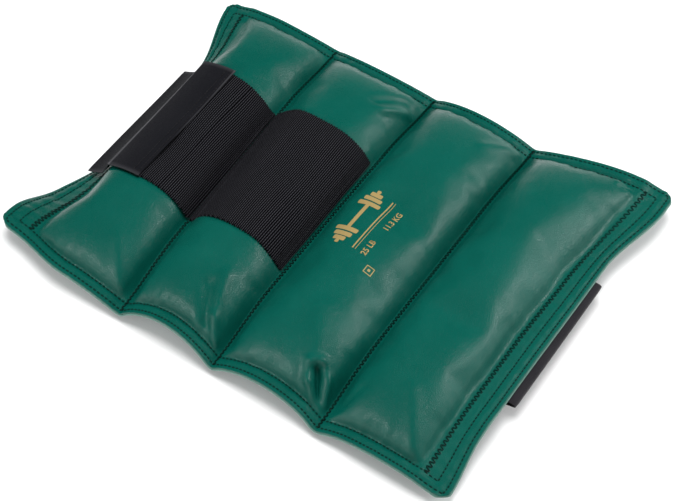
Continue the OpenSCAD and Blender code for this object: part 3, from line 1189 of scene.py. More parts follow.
class PadSkin:
    """The settled pad: fine grids of both sheets, and ways to find a point on them."""

    refine: int = 3
    floor_gap: float = 0.0006
    strap_half: float = 0.0665
    strap_press: float = 0.0009
    tab_from: float = -0.137
    least_gap: float = 0.0022
    fold_calm: int = 4

    def __init__(self, shape: PadShape, run: ClothRun) -> None:
        """Lay out the pad, settle it and refine it."""
        self.shape = shape
        s, t, top, bottom = shape.grid()
        top, bottom = run.run(shape, s, t, top, bottom)
        top, bottom = self._tidy(s, t, top, bottom)
        fine = [spread(spread(g, 0, self.refine), 1, self.refine) for g in (s, t, top, bottom)]
        self.s, self.t, self.top, self.bottom = fine
        self._sew()
        self.tree = {
            Sheet.TOP: self._tree(self.top),
            Sheet.BOTTOM: self._tree(self.bottom),
        }

    def _tidy(self, s: np.ndarray, t: np.ndarray, top: np.ndarray,
              bottom: np.ndarray) -> tuple[np.ndarray, np.ndarray]:
        """Lay the sheets back together where they are sewn, and flatten what lies on the floor."""
        shape = self.shape
        number, _, v = shape.hollow(s, t)
        sewn = ((number < 0) | (np.abs(v) >= shape.sewn_share))[..., None]
        middle = (top + bottom) / 2
        normal = grid_normals(middle)
        top = np.where(sewn, middle + normal * shape.ply, top)
        bottom = np.where(sewn, middle - normal * shape.ply, bottom)
        band = smooth(self.strap_half - np.abs(t), 0.0, 0.006)
        under_tab = band * (s < self.tab_from)
        over = np.maximum(top[..., 2] - TabProfile().ceiling(top[..., 0]), 0.0)
        top[..., 2] -= over * under_tab + self.strap_press * band * (number >= 0) * (number <= 1)
        low = self.floor_gap
        bottom[..., 2] = low + np.logaddexp(0, (bottom[..., 2] - low) / low) * low
        bottom[..., 2] -= bottom[..., 2].min() - 0.0004
        room = np.minimum(shape.fold_room(s, middle[..., 0]), middle[..., 2] - shape.ply)
        bottom[..., 2] = np.maximum(bottom[..., 2], room)
        gap = top[..., 2] - bottom[..., 2]
        top[..., 2] += np.maximum(self.least_gap - gap, 0)
        return top, bottom

    def _sew(self) -> None:
        """Press in the stitch lines, gather small puckers beside them and puff the hem between its rows."""
        shape = self.shape
        long_edge = shape.half_w - np.abs(self.t)
        end_edge = shape.edge - np.abs(self.s)
        normal_top, normal_bottom = grid_normals(self.top), -grid_normals(self.bottom)
        press = np.zeros_like(self.s)
        puff = np.zeros_like(self.s)
        pucker = np.zeros_like(self.s)
        seams = np.array(shape.seams)
        for distance, run_along in ((long_edge, self.s), (end_edge, self.t)):
            press += 0.0003 * hump(distance, 0.0030, 0.0010) + 0.0004 * hump(distance, 0.0098, 0.0013)
            puff += 0.0005 * hump(distance, 0.0064, 0.0022)
            ripple = np.sin(run_along / 0.0017 + 1.4 * np.sin(run_along / 0.011))
            ripple += 0.7 * np.sin(run_along / 0.00295 + 2.0 * np.sin(run_along / 0.031))
            pucker += 0.00022 * ripple * (hump(distance, 0.0064, 0.004) + 0.9 * hump(distance, 0.0150, 0.005))
        for mark in (-shape.close - 0.003, *seams, shape.close + 0.003):
            ripple = np.sin(self.t / 0.0019 + 1.9 * np.sin(self.t / 0.017))
            pucker += 0.00012 * ripple * hump(np.abs(self.s - mark), 0.007, 0.004)
        number, u, v = shape.hollow(self.s, self.t)
        room = np.minimum(1.0, 25.0 * np.minimum(1 - np.clip(np.abs(u), 0, 1), 1 - np.clip(np.abs(v), 0, 1)))
        folds = np.where(number >= 0, room, 0.0) * sum(fold.lift(self.s, self.t) for fold in shape.folds)
        for _ in range(self.fold_calm):
            folds = calmed(folds)
        amount = (puff + pucker - press)[..., None]
        self.top = self.top + normal_top * (amount + folds[..., None])
        self.bottom = self.bottom + normal_bottom * amount * 0.8
        self.bottom[..., 2] = np.maximum(self.bottom[..., 2], 0.0003)

    def _tree(self, sheet: np.ndarray) -> BVHTree:
        """Make a search tree of one sheet."""
        columns, rows = sheet.shape[:2]
        index = np.arange(columns * rows).reshape(columns, rows)
        quads = np.stack([index[:-1, :-1], index[1:, :-1], index[1:, 1:], index[:-1, 1:]], axis=-1)
        return BVHTree.FromPolygons(sheet.reshape(-1, 3).tolist(), quads.reshape(-1, 4).tolist())

    def at(self, s: float, t: float, sheet: Sheet) -> tuple[Vector, Vector]:
        """Find a point by its nominal place.

        Args:
            s: Nominal place along the wrap.
            t: Nominal place across it.
            sheet: Which sheet.

        Returns:
            The point and the outward normal.
        """
        grid = self.top if sheet is Sheet.TOP else self.bottom
        i = float(np.interp(s, self.s[:, 0], np.arange(self.s.shape[0])))
        j = float(np.interp(t, self.t[0], np.arange(self.t.shape[1])))
        i0, j0 = min(int(i), grid.shape[0] - 2), min(int(j), grid.shape[1] - 2)
        a, b = i - i0, j - j0
        p00, p10, p01, p11 = grid[i0, j0], grid[i0 + 1, j0], grid[i0, j0 + 1], grid[i0 + 1, j0 + 1]
        point = p00 * (1 - a) * (1 - b) + p10 * a * (1 - b) + p01 * (1 - a) * b + p11 * a * b
        normal = np.cross(p10 - p00, p01 - p00) * sheet.value
        return Vector(point), Vector(normal).normalized()

    def height(self, x: float, y: float, sheet: Sheet = Sheet.TOP) -> Optional[float]:
        """Height of a sheet above or below a point of the plan, or None beside the pad."""
        start = Vector((x, y, 0.2 if sheet is Sheet.TOP else -0.2))
        hit = self.tree[sheet].ray_cast(start, Vector((0, 0, -1.0 * sheet.value)))
        return None if hit[0] is None else hit[0].z


# ---------------------------------------------------------------- covers and fillings


@dataclass
class VinylCover:
    """The vinyl of each pocket, and the narrow strips of it at the seams."""

    skin: PadSkin
    palette: Palette
    rim: tuple[tuple[float, float], ...] = (
        (0.82, 0.00045), (0.62, 0.00030), (0.50, -0.00160), (0.38, 0.00090), (0.18, 0.00110),
    )
    # Share of the painted highlight on each rim point above: most on the lower ply's outer edge, none in the
    # notch.
    bare: tuple[float, ...] = (0.15, 0.30, 0.0, 0.85, 0.60)

    def build(self) -> None:
        """Make the four pockets and the three seam strips."""
        shape = self.skin.shape
        column = self.skin.s[:, 0]
        marks = [column[0]]
        for seam in shape.seams:
            marks += [seam - shape.web, seam + shape.web]
        marks += [column[-1]]
        cuts = [int(np.argmin(np.abs(column - mark))) for mark in marks]
        for n in range(POCKETS):
            piece = self._part(f"pocket_cover_{n + 1}", cuts[2 * n], cuts[2 * n + 1])
            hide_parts(f"cover_top_{n + 1}", f"cover_bottom_{n + 1}")
            follow_pocket(piece, n)
        for k in range(3):
            piece = self._part(f"seam_strip_{k + 1}", cuts[2 * k + 1], cuts[2 * k + 2])
            blend_at_seam(piece)
            report(piece, f"seam {k + 1}")

    def _part(self, name: str, first: int, last: int) -> Piece:
        """Cut one closed length of the pad out of the fine grids.

        Args:
            name: Name of the piece.
            first: First column.
            last: Last column, kept.

        Returns:
            The piece.
        """
        skin = self.skin
        top, bottom = skin.top[first:last + 1], skin.bottom[first:last + 1]
        columns, rows = top.shape[:2]
        total = skin.top.shape[0]
        points = [top.reshape(-1, 3), bottom.reshape(-1, 3)]
        low = columns * rows
        count = 2 * low

        def ring(border: list[tuple[int, int]], inward: tuple[int, int]) -> list[list[int]]:
            """Add the rounded two-ply edge along some border points, as lists of point numbers."""
            nonlocal count
            out = []
            for i, j in border:
                up, down = top[i, j], bottom[i, j]
                away = up - top[i + inward[0], j + inward[1]]
                away[2] = 0
                size = np.linalg.norm(away)
                away = away / size if size > 1e-9 else away
                thick = up - down
                points.append(np.array([down + thick * share + away * reach for share, reach in self.rim]))
                out.append([i * rows + j, *range(count, count + 5), i * rows + j + low])
                count += 5
            return out

        faces = sheet_faces(columns, rows)
        front = ring([(i, 0) for i in range(columns)], (0, 1))
        back = ring([(i, rows - 1) for i in range(columns)], (0, -1))
        left_open, right_open = first == 0, last == total - 1
        left = ring([(0, j) for j in range(1, rows - 1)], (1, 0)) if left_open else None
        right = ring([(columns - 1, j) for j in range(1, rows - 1)], (-1, 0)) if right_open else None
        loop = front + (right or [None]) + back[::-1] + (left[::-1] if left else [None])
        for here, there in zip(loop, loop[1:] + loop[:1]):
            if here is None or there is None:
                continue
            for k in range(6):
                faces.append((here[k], here[k + 1], there[k + 1], there[k]))
        caps = []
        for is_open, i, flip in ((left_open, 0, True), (right_open, columns - 1, False)):
            if is_open:
                continue
            strip = []
            for j in range(rows - 1):
                a = i * rows + j
                strip.append((a, a + low, a + 1 + low, a + 1))
            strip.append(tuple(front[i]))
            strip.append(tuple(reversed(back[i])))
            if flip:
                strip = [tuple(reversed(f)) for f in strip]
            caps += strip
        start_of_caps = len(faces)
        piece = mesh_piece(name, np.concatenate(points), faces + [tuple(reversed(f)) for f in caps])
        self._crisp_caps(piece, start_of_caps)
        self._paint_hem_edge_highlight(piece, first, last)
        paint(piece, self.palette.vinyl)
        return piece

    def _crisp_caps(self, piece: Piece, start: int) -> None:
        """Keep the hidden cut faces from bending the light on the faces beside them."""
        work = bmesh.new()
        work.from_mesh(piece.data)
        work.faces.ensure_lookup_table()
        for face in work.faces[start:]:
            face.smooth = False
            for edge in face.edges:
                edge.smooth = False
        bmesh.ops.recalc_face_normals(work, faces=work.faces[:])
        work.to_mesh(piece.data)
        work.free()

    def _paint_hem_edge_highlight(self, piece: Piece, first: int, last: int) -> None:
        """Paint a highlight on the rim points of the pad's edges: a pale colour, strongest on the lower ply's
        outer edge and none in the notch between the plies.
        """
        attribute = piece.data.attributes.new("hem_edge_highlight", "FLOAT", "POINT")
        sheets = 2 * self.skin.s[first:last + 1].size
        values = np.zeros(len(piece.data.vertices), np.float32)
        values[sheets:] = np.resize(self.bare, len(values) - sheets)
        attribute.data.foreach_set("value", values)


def blend_at_seam(piece: Piece) -> None:
    """Bake a piece's transform into its mesh, leaving it unparented.

    Args:
        piece: The piece, final and unparented.
    """
    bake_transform(piece)


def follow_pocket(piece: Piece, n: int) -> None:
    """Tie a piece to pocket_1 when n, from 0, is 0; bake any other piece in place, unparented."""
    if n == 0:
        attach(piece, "pocket_1")
    else:
        blend_at_seam(piece)
    report(piece, f"pocket_{n + 1}")


@dataclass
class Filling:
    """The plastic bag in each pocket and the shot that it holds."""

    skin: PadSkin
    palette: Palette

    def build(self) -> None:
        """Make a bag and its shot for each pocket."""
        for n in range(POCKETS):
            for name, node, inset, material in (
                ("shot_bag", "liner_bag", 0.0016, self.palette.film),
                ("steel_shot", "shot_fill", 0.0024, self.palette.shot),
            ):
                piece = self._cushion(f"{name}_{n + 1}", n, inset)
                paint(piece, material)
                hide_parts(f"{node}_{n + 1}")
                follow_pocket(piece, n)

    def _cushion(self, name: str, n: int, inset: float) -> Piece:
        """Make a closed cushion inside one pocket.

        Args:
            name: Name of the piece.
            n: Pocket number from 0.
            inset: Distance from the pocket's skin.

        Returns:
            The piece.
        """
        skin, shape = self.skin, self.skin.shape
        number, u, v = shape.hollow(skin.s, skin.t)
        margin = 1.0 - inset / 0.10
        inside = (number == n) & (np.abs(u) < margin) & (np.abs(v) < margin)
        columns = np.nonzero(inside.any(axis=1))[0][::2]
        rows = np.nonzero(inside.any(axis=0))[0][::2]
        top, bottom = skin.top[np.ix_(columns, rows)], skin.bottom[np.ix_(columns, rows)]
        half = np.maximum((top[..., 2] - bottom[..., 2]) / 2 - inset, 0.0003)
        centre = (top + bottom) / 2
        steep = np.minimum(1.0, half / 0.004)[..., None]
        middle = np.array([centre[..., 0].mean(), centre[..., 1].mean(), 0])
        pull = (centre - middle) * np.array([1.0, 0.25, 0.0]) * (-inset / 0.030) * steep
        up, down = centre + pull, centre + pull
        up[..., 2] = centre[..., 2] + half
        room = shape.fold_room(skin.s[np.ix_(columns, rows)], down[..., 0]) + 2 * inset
        down[..., 2] = np.minimum(np.maximum(centre[..., 2] - half, room), up[..., 2] - 0.0006)
        points = np.concatenate([up.reshape(-1, 3), down.reshape(-1, 3)])
        return mesh_piece(name, points, closed_faces(len(columns), len(rows)))


# ---------------------------------------------------------------- sewing


@dataclass
class Stitcher:
    """Sews rows of thread. One stitch is modelled and then copied along each row."""

    skin: PadSkin
    palette: Palette
    thick: float = 0.00050
    template: np.ndarray = field(init=False)
    faces: list = field(init=False)

    def __post_init__(self) -> None:
        """Model one stitch: a low rounded arch of thread, one unit long."""
        deselect_all()
        bpy.ops.mesh.primitive_uv_sphere_add(segments=6, ring_count=6, radius=0.5,
                                             rotation=(0, math.pi / 2, 0))
        ball = bpy.context.object
        bpy.ops.object.transform_apply(location=True, rotation=True, scale=True)
        points = np.array([v.co[:] for v in ball.data.vertices])
        self.faces = [tuple(p.vertices) for p in ball.data.polygons]
        bpy.data.objects.remove(ball, do_unlink=True)
        x = points[:, 0]
        full = np.maximum(1 - (2 * np.abs(x)) ** 4, 0.15) ** 0.5 / np.maximum((1 - (2 * x) ** 2), 0.02) ** 0.5
        points[:, 1] *= np.minimum(full, 2.5)
        points[:, 2] *= np.minimum(full, 2.5)
        self.template = points

    def row(self, path: Sequence[tuple[Vector, Vector]], gap: float = 0.26) -> list[np.ndarray]:
        """Lay one stitch between each two points of a path.

        Args:
            path: Points with outward normals.
            gap: Share of the pitch left bare between two stitches.

        Returns:
            The points of each stitch.
        """
        out = []
        for (a, na), (b, nb) in zip(path[:-1], path[1:]):
            along = b - a
            length = along.length
            if length < 1e-5:
                continue
            along.normalize()
            normal = (na + nb).normalized()
            side = normal.cross(along).normalized()
            normal = along.cross(side)
            basis = np.array([along, side, normal])
            unit = self.template
            arch = np.stack([
                unit[:, 0] * length * (1 - gap),
                unit[:, 1] * self.thick * 2,
                unit[:, 2] * self.thick * 1.7 + self.thick * (0.75 - 3.2 * unit[:, 0] ** 2),
            ], axis=1)
            middle = np.array((a + b) / 2)
            out.append(arch @ basis + middle)
        return out

    def piece(self, name: str, stitches: Sequence[np.ndarray], material: Material) -> Piece:
        """Join stitches into one piece."""
        size = len(self.template)
        faces = [tuple(i + k * size for i in f) for k in range(len(stitches)) for f in self.faces]
        made = mesh_piece(name, np.concatenate(stitches), faces)
        paint(made, material)
        return made

    def line(self, start: tuple[float, float], end: tuple[float, float], pitch: float,
             sheet: Sheet) -> Path:
        """Follow the skin between two nominal places, at an even pitch."""
        length = math.dist(start, end)
        steps = max(1, round(length / pitch))
        out = []
        for k in range(steps + 1):
            share = k / steps
            out.append(self.skin.at(start[0] + (end[0] - start[0]) * share,
                                    start[1] + (end[1] - start[1]) * share, sheet))
        return out

    def zigzag(self, s: float, low: float, high: float, width: float, step: float,
               sheet: Sheet) -> Path:
        """Follow the skin in a zigzag about one nominal s."""
        count = int((high - low) / step)
        out = []
        for k in range(count + 1):
            t = low + (high - low) * k / count
            out.append(self.skin.at(s + (width / 2 if k % 2 else -width / 2), t, sheet))
        return out


@dataclass
class Sewing:
    """Every visible row of stitches on the vinyl."""

    stitcher: Stitcher
    palette: Palette
    outer: float = 0.0030
    inner: float = 0.0098
    pitch: float = 0.0031
    seam_bite: float = 0.0042
    seam_step: float = 0.0017
    seam_reach: float = 0.1505
    close_bite: float = 0.0048
    close_step: float = 0.0019
    close_reach: float = 0.1425
    close_out: float = 0.0035
    close_gap: float = 0.002

    def build(self) -> None:
        """Sew the hems, the ends, the zigzag rows and the seams."""
        shape = self.stitcher.skin.shape
        marks = [-shape.close - self.close_gap, *shape.seams, shape.close + self.close_gap]
        for n in range(POCKETS):
            low = marks[n] + (0 if n == 0 else shape.web)
            high = marks[n + 1] - (0 if n == 3 else shape.web)
            stitches = self._hem_rows(low, high)
            piece = self.stitcher.piece(f"hem_stitches_{n + 1}", stitches, self.palette.thread)
            stand_for(piece, "thread", f"hem_thread_{n + 1}")
            follow_pocket(piece, n)
        for side in Side:
            word = side.name.lower()
            body = "pocket_1" if side is Side.LEFT else "pocket_4"
            piece = self.stitcher.piece(f"end_hem_stitches_{word}", self._end_rows(side), self.palette.thread)
            fix_to(piece, body, "thread", f"end_hem_thread_{word}")
            stitches = self._zigzag(side.value * (shape.close + self.close_out), self.close_reach,
                                    self.close_bite, self.close_step)
            piece = self.stitcher.piece(f"zigzag_stitches_{word}", stitches, self.palette.thread)
            fix_to(piece, body, "thread", f"zigzag_thread_{word}")
        for k, seam in enumerate(shape.seams):
            stitches = self._zigzag(seam, self.seam_reach, self.seam_bite, self.seam_step)
            stitches += self._hem_rows(seam - shape.web, seam + shape.web)
            piece = self.stitcher.piece(f"seam_stitches_{k + 1}", stitches, self.palette.thread)
            stand_for(piece, "thread", f"seam_thread_{k + 1}")
            blend_at_seam(piece)
            report(piece, f"seam {k + 1}")

    def _zigzag(self, s: float, reach: float, width: float, step: float) -> list[np.ndarray]:
        """Sew a zigzag row along the pockets, on both sheets.

        Args:
            s: Nominal place along the wrap.
            reach: Distance of its ends from the middle of the pad.
            width: Width of the zigzag.
            step: Distance between two points of it.

        Returns:
            The points of each stitch.
        """
        stitches = []
        for sheet in Sheet:
            stitches += self.stitcher.row(self.stitcher.zigzag(s, -reach, reach, width, step, sheet))
        return stitches

    def _hem_rows(self, low: float, high: float) -> list[np.ndarray]:
        """Two rows on each long hem between two nominal places, on both sheets."""
        shape = self.stitcher.skin.shape
        stitches = []
        for sheet in Sheet:
            for way in (-1, 1):
                for distance in (self.outer, self.inner):
                    t = way * (shape.half_w - distance)
                    stitches += self.stitcher.row(self.stitcher.line((low, t), (high, t), self.pitch, sheet))
        return stitches

    def _end_rows(self, side: Side) -> list[np.ndarray]:
        """Two rows round one end, on both sheets."""
        shape = self.stitcher.skin.shape
        stitches = []
        start = shape.close + self.close_gap
        for sheet in Sheet:
            for distance in (self.outer, self.inner):
                s = side.value * (shape.edge - distance)
                t = shape.half_w - distance
                stitches += self.stitcher.row(self.stitcher.line((s, -t), (s, t), self.pitch, sheet))
                for way in (-1, 1):
                    stitches += self.stitcher.row(
                        self.stitcher.line((side.value * start, way * t), (s, way * t), self.pitch, sheet))
        return stitches


# ---------------------------------------------------------------- tapes


@dataclass
class Tape:
    """A flat woven tape laid along a path, with ribs across it and small teeth along its edges."""

    name: str
    middle: np.ndarray
    thick: float
    rib_pitch: float = 0.0
    rib_depth: float = 0.0
    tooth: float = 0.0
    tooth_pitch: float = 0.0024
    phase: float = 0.0
    edge_round: float = 0.35
    width: float = 0.125
    crisp: float = 62.0

    def build(self, material: Material) -> Piece:
        """Make the closed tape.

        Args:
            material: Its finish.

        Returns:
            The piece, with a UV map named tape in metres.
        """
        middle = self.middle.copy()
        columns, rows = middle.shape[:2]
        length = np.zeros(columns)
        centre = middle[:, rows // 2]
        length[1:] = np.cumsum(np.linalg.norm(np.diff(centre, axis=0), axis=1))
        ribs = np.zeros(columns)
        if self.rib_pitch:
            turn = 2 * np.pi * (length + self.phase) / self.rib_pitch
            ribs = np.abs(np.sin(turn / 2)) ** 0.8
            reach = self.tooth * (np.abs(2 * ((length + self.phase) / self.tooth_pitch % 1.0) - 1) - 0.5)
            middle[:, 0, 1] -= reach
            middle[:, -1, 1] += reach
        normal = grid_normals(middle)
        share = np.ones(rows)
        share[0] = share[-1] = self.edge_round
        half = self.thick / 2 * share[None, :, None]
        lift = (ribs - 0.5)[:, None, None] * self.rib_depth * share[None, :, None]
        top = middle + normal * (half + lift)
        bottom = middle - normal * (half + lift * 0.8)
        points = np.concatenate([top.reshape(-1, 3), bottom.reshape(-1, 3)])
        piece = mesh_piece(self.name, points, closed_faces(columns, rows))
        self._map(piece, length, columns, rows)
        sharpen(piece, self.crisp)
        paint(piece, material)
        return piece

    def _map(self, piece: Piece, length: np.ndarray, columns: int, rows: int) -> None:
        """Write the UV map: length along the tape, and place across it."""
        across = np.linspace(0.0, self.width, rows)
        u = np.repeat(length + self.phase, rows)
        v = np.tile(across, columns)
        table = np.stack([np.tile(u, 2), np.tile(v, 2)], axis=1)
        layer = piece.data.uv_layers.new(name="tape")
        corners = np.empty(len(piece.data.loops), np.int32)
        piece.data.loops.foreach_get("vertex_index", corners)
        layer.data.foreach_set("uv", table[corners].astype(np.float32).ravel())


@dataclass
class Closure:
    """The elastic over pockets 1 and 2, and the hook tab at its free end."""

    skin: PadSkin
    stitcher: Stitcher
    palette: Palette
    front: float = -0.0618
    back: float = 0.0612
    thick: float = 0.0016
    lift: float = 0.00035
    rib: float = 0.0016
    cut: float = -0.1190
    selvedge: float = 0.0008
    profile: TabProfile = field(default_factory=TabProfile)

    def build(self) -> None:
        """Lay the elastic, sew it and add the tab."""
        seam = self.skin.shape.seam_line
        first, second = float(seam(0, np.array(0.0))), float(seam(1, np.array(0.0)))
        inner = np.linspace(self.front + self.selvedge, self.back - self.selvedge, 46)
        self.rows = np.concatenate([[self.front], inner, [self.back]])
        band = self._strip("elastic_over_pocket_2", first + 0.0009, second - 0.0030)
        stand_for(band, "elastic", "elastic_band")
        follow_pocket(band, 1)
        root = self._strip("elastic_over_pocket_1", self.cut, first - 0.0009)
        stand_for(root, "elastic", "strap_root")
        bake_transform(root)
        report(root, "strap and strap_end")
        end = self._strip("elastic_under_tab", self.profile.sewn_x - 0.010, self.cut)
        stand_for(end, "elastic", "strap_end")
        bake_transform(end)
        report(end, "strap_end and tab")
        self._sew(first, second)
        self._tab()

    def surface(self, x: float, y: float) -> float:
        """Height of the vinyl under the elastic."""
        found = self.skin.height(x, y)
        return self.skin.shape.plane if found is None else found

    def _laid(self, xs: np.ndarray, ys: np.ndarray, lift: float) -> np.ndarray:
        """Lay a grid of points on the vinyl, stretched a little smoother than the vinyl is."""
        coarse_x = np.linspace(xs.min(), xs.max(), max(8, int(np.ptp(xs) / 0.0018)))
        coarse_y = np.linspace(ys.min(), ys.max(), 21)
        z = np.array([[self.surface(x, y) for y in coarse_y] for x in coarse_x])
        for _ in range(6):
            z[:, 1:-1] = (z[:, :-2] + 2 * z[:, 1:-1] + z[:, 2:]) / 4
        base = z.copy()
        for _ in range(3):
            z[1:-1] = (z[:-2] + 2 * z[1:-1] + z[2:]) / 4
        z = np.maximum(z, base)
        rows = np.array([np.interp(ys, coarse_y, line) for line in z])
        grid = np.array([np.interp(xs, coarse_x, rows[:, j]) for j in range(len(ys))]).T
        x, y = np.meshgrid(xs, ys, indexing="ij")
        return np.stack([x, y, grid + lift], axis=2)

    def _strip(self, name: str, low: float, high: float) -> Piece:
        """Make one length of elastic between two x values."""
        steps = int((high - low) / (self.rib / 5))
        xs = np.linspace(low, high, steps + 1)
        lean = self.skin.shape.seam_line(0, self.rows) - self.skin.shape.seam_line(0, np.array(0.0))
        middle = self._laid(xs, self.rows, self.lift + self.thick / 2)
        seam = float(self.skin.shape.seam_line(0, np.array(0.0)))
        near_seam = smooth(-np.abs(xs - seam), -0.030, -0.002)
        shift = near_seam[:, None] * lean[None, :]
        middle[..., 0] += shift
        return Tape(name, middle, self.thick, rib_pitch=self.rib, rib_depth=0.00050, tooth=0.0014,
                    phase=low + 0.2, edge_round=0.55).build(self.palette.elastic)

    def _sew(self, first: float, second: float) -> None:
        """Sew the elastic down at both seams."""
        stitches = []
        for offset in (-0.0048, -0.0078):
            stitches += self.stitcher.row(self._path(second + offset))
        piece = self.stitcher.piece("band_stitches", stitches, self.palette.dark_thread)
        fix_to(piece, "pocket_2", "dark_thread", "band_thread")
        stitches = self.stitcher.row(self._path(first - 0.0034))
        piece = self.stitcher.piece("strap_stitches", stitches, self.palette.dark_thread)
        fix_to(piece, "strap", "dark_thread", "strap_thread")

    def _path(self, x: float) -> Path:
        """A stitch path across the elastic at one x."""
        ys = np.arange(self.front + 0.004, self.back - 0.003, 0.003)
        xs = np.array([x - 0.002, x, x + 0.002])
        grid = self._laid(xs, ys, self.lift + self.thick + 0.0002)
        normal = grid_normals(grid)[1]
        return [(Vector(grid[1, j]), Vector(normal[j])) for j in range(len(ys))]

    def _tab(self) -> None:
        """Make the hook tab: a stiff strip over the shoulder of pocket 1, with a lip to pull."""
        half = self.profile.thick / 2
        side = self.profile.half_w
        ys = np.linspace(-side, side, 33)
        path = self.profile.path()
        grid = np.empty((len(path), len(ys), 3))
        for column, (x, z) in zip(grid, path):
            column[:, 0], column[:, 1], column[:, 2] = x, ys, z
        upper = [k for k, (x, _) in enumerate(path) if x >= self.profile.ridge_x]
        needed = np.empty((len(upper), len(ys)))
        for k in upper:
            lift = 0.0030 if path[k, 0] > self.profile.sewn_x - 0.0108 else 0.0010
            needed[k] = [self.surface(path[k, 0], float(np.clip(y, -0.060, 0.060))) + lift for y in ys]
        gap = (needed - path[upper, 1][:, None]).max(axis=0)
        bow = np.polynomial.polynomial.polyval(ys, np.polynomial.polynomial.polyfit(ys, gap, 2))
        bow += (gap - bow).max() * 0.8
        log.info("tab raised by %.1f to %.1f mm", bow.min() / MM, bow.max() / MM)
        bends = [self.profile.lip_x, self.profile.foot_x, self.profile.ridge_x]
        share = np.interp(path[:, 0], bends, [0, 0.4, 1])
        grid[..., 2] += share[:, None] * bow
        grid[..., 0] += 0.0007 * np.sin(ys / 0.040)
        fine = spread(grid[::-1], 0, 3)
        tab = Tape("hook_tab_strip", fine, 2 * half, edge_round=0.6).build(self.palette.backing)
        # Painted highlight on the tab's ridge and edges.
        self._paint_tab_highlight(tab)
        fix_to(tab, "tab", "hook_backing", "hook_tab")
        lip = spread(grid[-6:][::-1], 0, 3)
        pad = lip[:, 1:-1] - grid_normals(lip)[:, 1:-1] * 0.0011
        hooks = Tape("hook_pad", pad, 0.0008, edge_round=0.5).build(self.palette.hooks)
        fix_to(hooks, "tab", "hook_pile", "hook_pile")
        stitches = []
        normals = grid_normals(grid[::-1])[::-1]
        ends = np.arange(ys[0] + 0.003, ys[-1] - 0.002, 0.0028)
        for offset in (0.0018, 0.0062):
            column = int(np.argmin(np.abs(path[:, 0] - (self.profile.sewn_x - offset))))
            points = np.stack([np.interp(ends, ys, grid[column, :, k]) for k in range(3)], axis=1)
            ways = np.stack([np.interp(ends, ys, normals[column, :, k]) for k in range(3)], axis=1)
            points = points + ways * half
            stitches += self.stitcher.row([(Vector(p), Vector(w)) for p, w in zip(points, ways)])
        piece = self.stitcher.piece("tab_stitches", stitches, self.palette.dark_thread)
        fix_to(piece, "tab", "dark_thread", "tab_thread")

    def _paint_tab_highlight(self, tab: Piece) -> None:
        """Paint a highlight on the tab: a thin light line along the ridge, and a lighter sewn edge and cut
        ends.
        """
        points = np.empty(len(tab.data.vertices) * 3)
        tab.data.vertices.foreach_get("co", points)
        points = points.reshape(-1, 3)
        ridge = hump(points[:, 0], self.profile.ridge_x, 0.00055)
        sewn = 0.35 * smooth(points[:, 0], self.profile.sewn_x - 0.0004, self.profile.sewn_x)
        ends = 0.25 * smooth(np.abs(points[:, 1]), self.profile.half_w - 0.0006, self.profile.half_w)
        attribute = tab.data.attributes.new("rim", "FLOAT", "POINT")
        attribute.data.foreach_set("value", np.clip(ridge + sewn + ends, 0, 1).astype(np.float32))


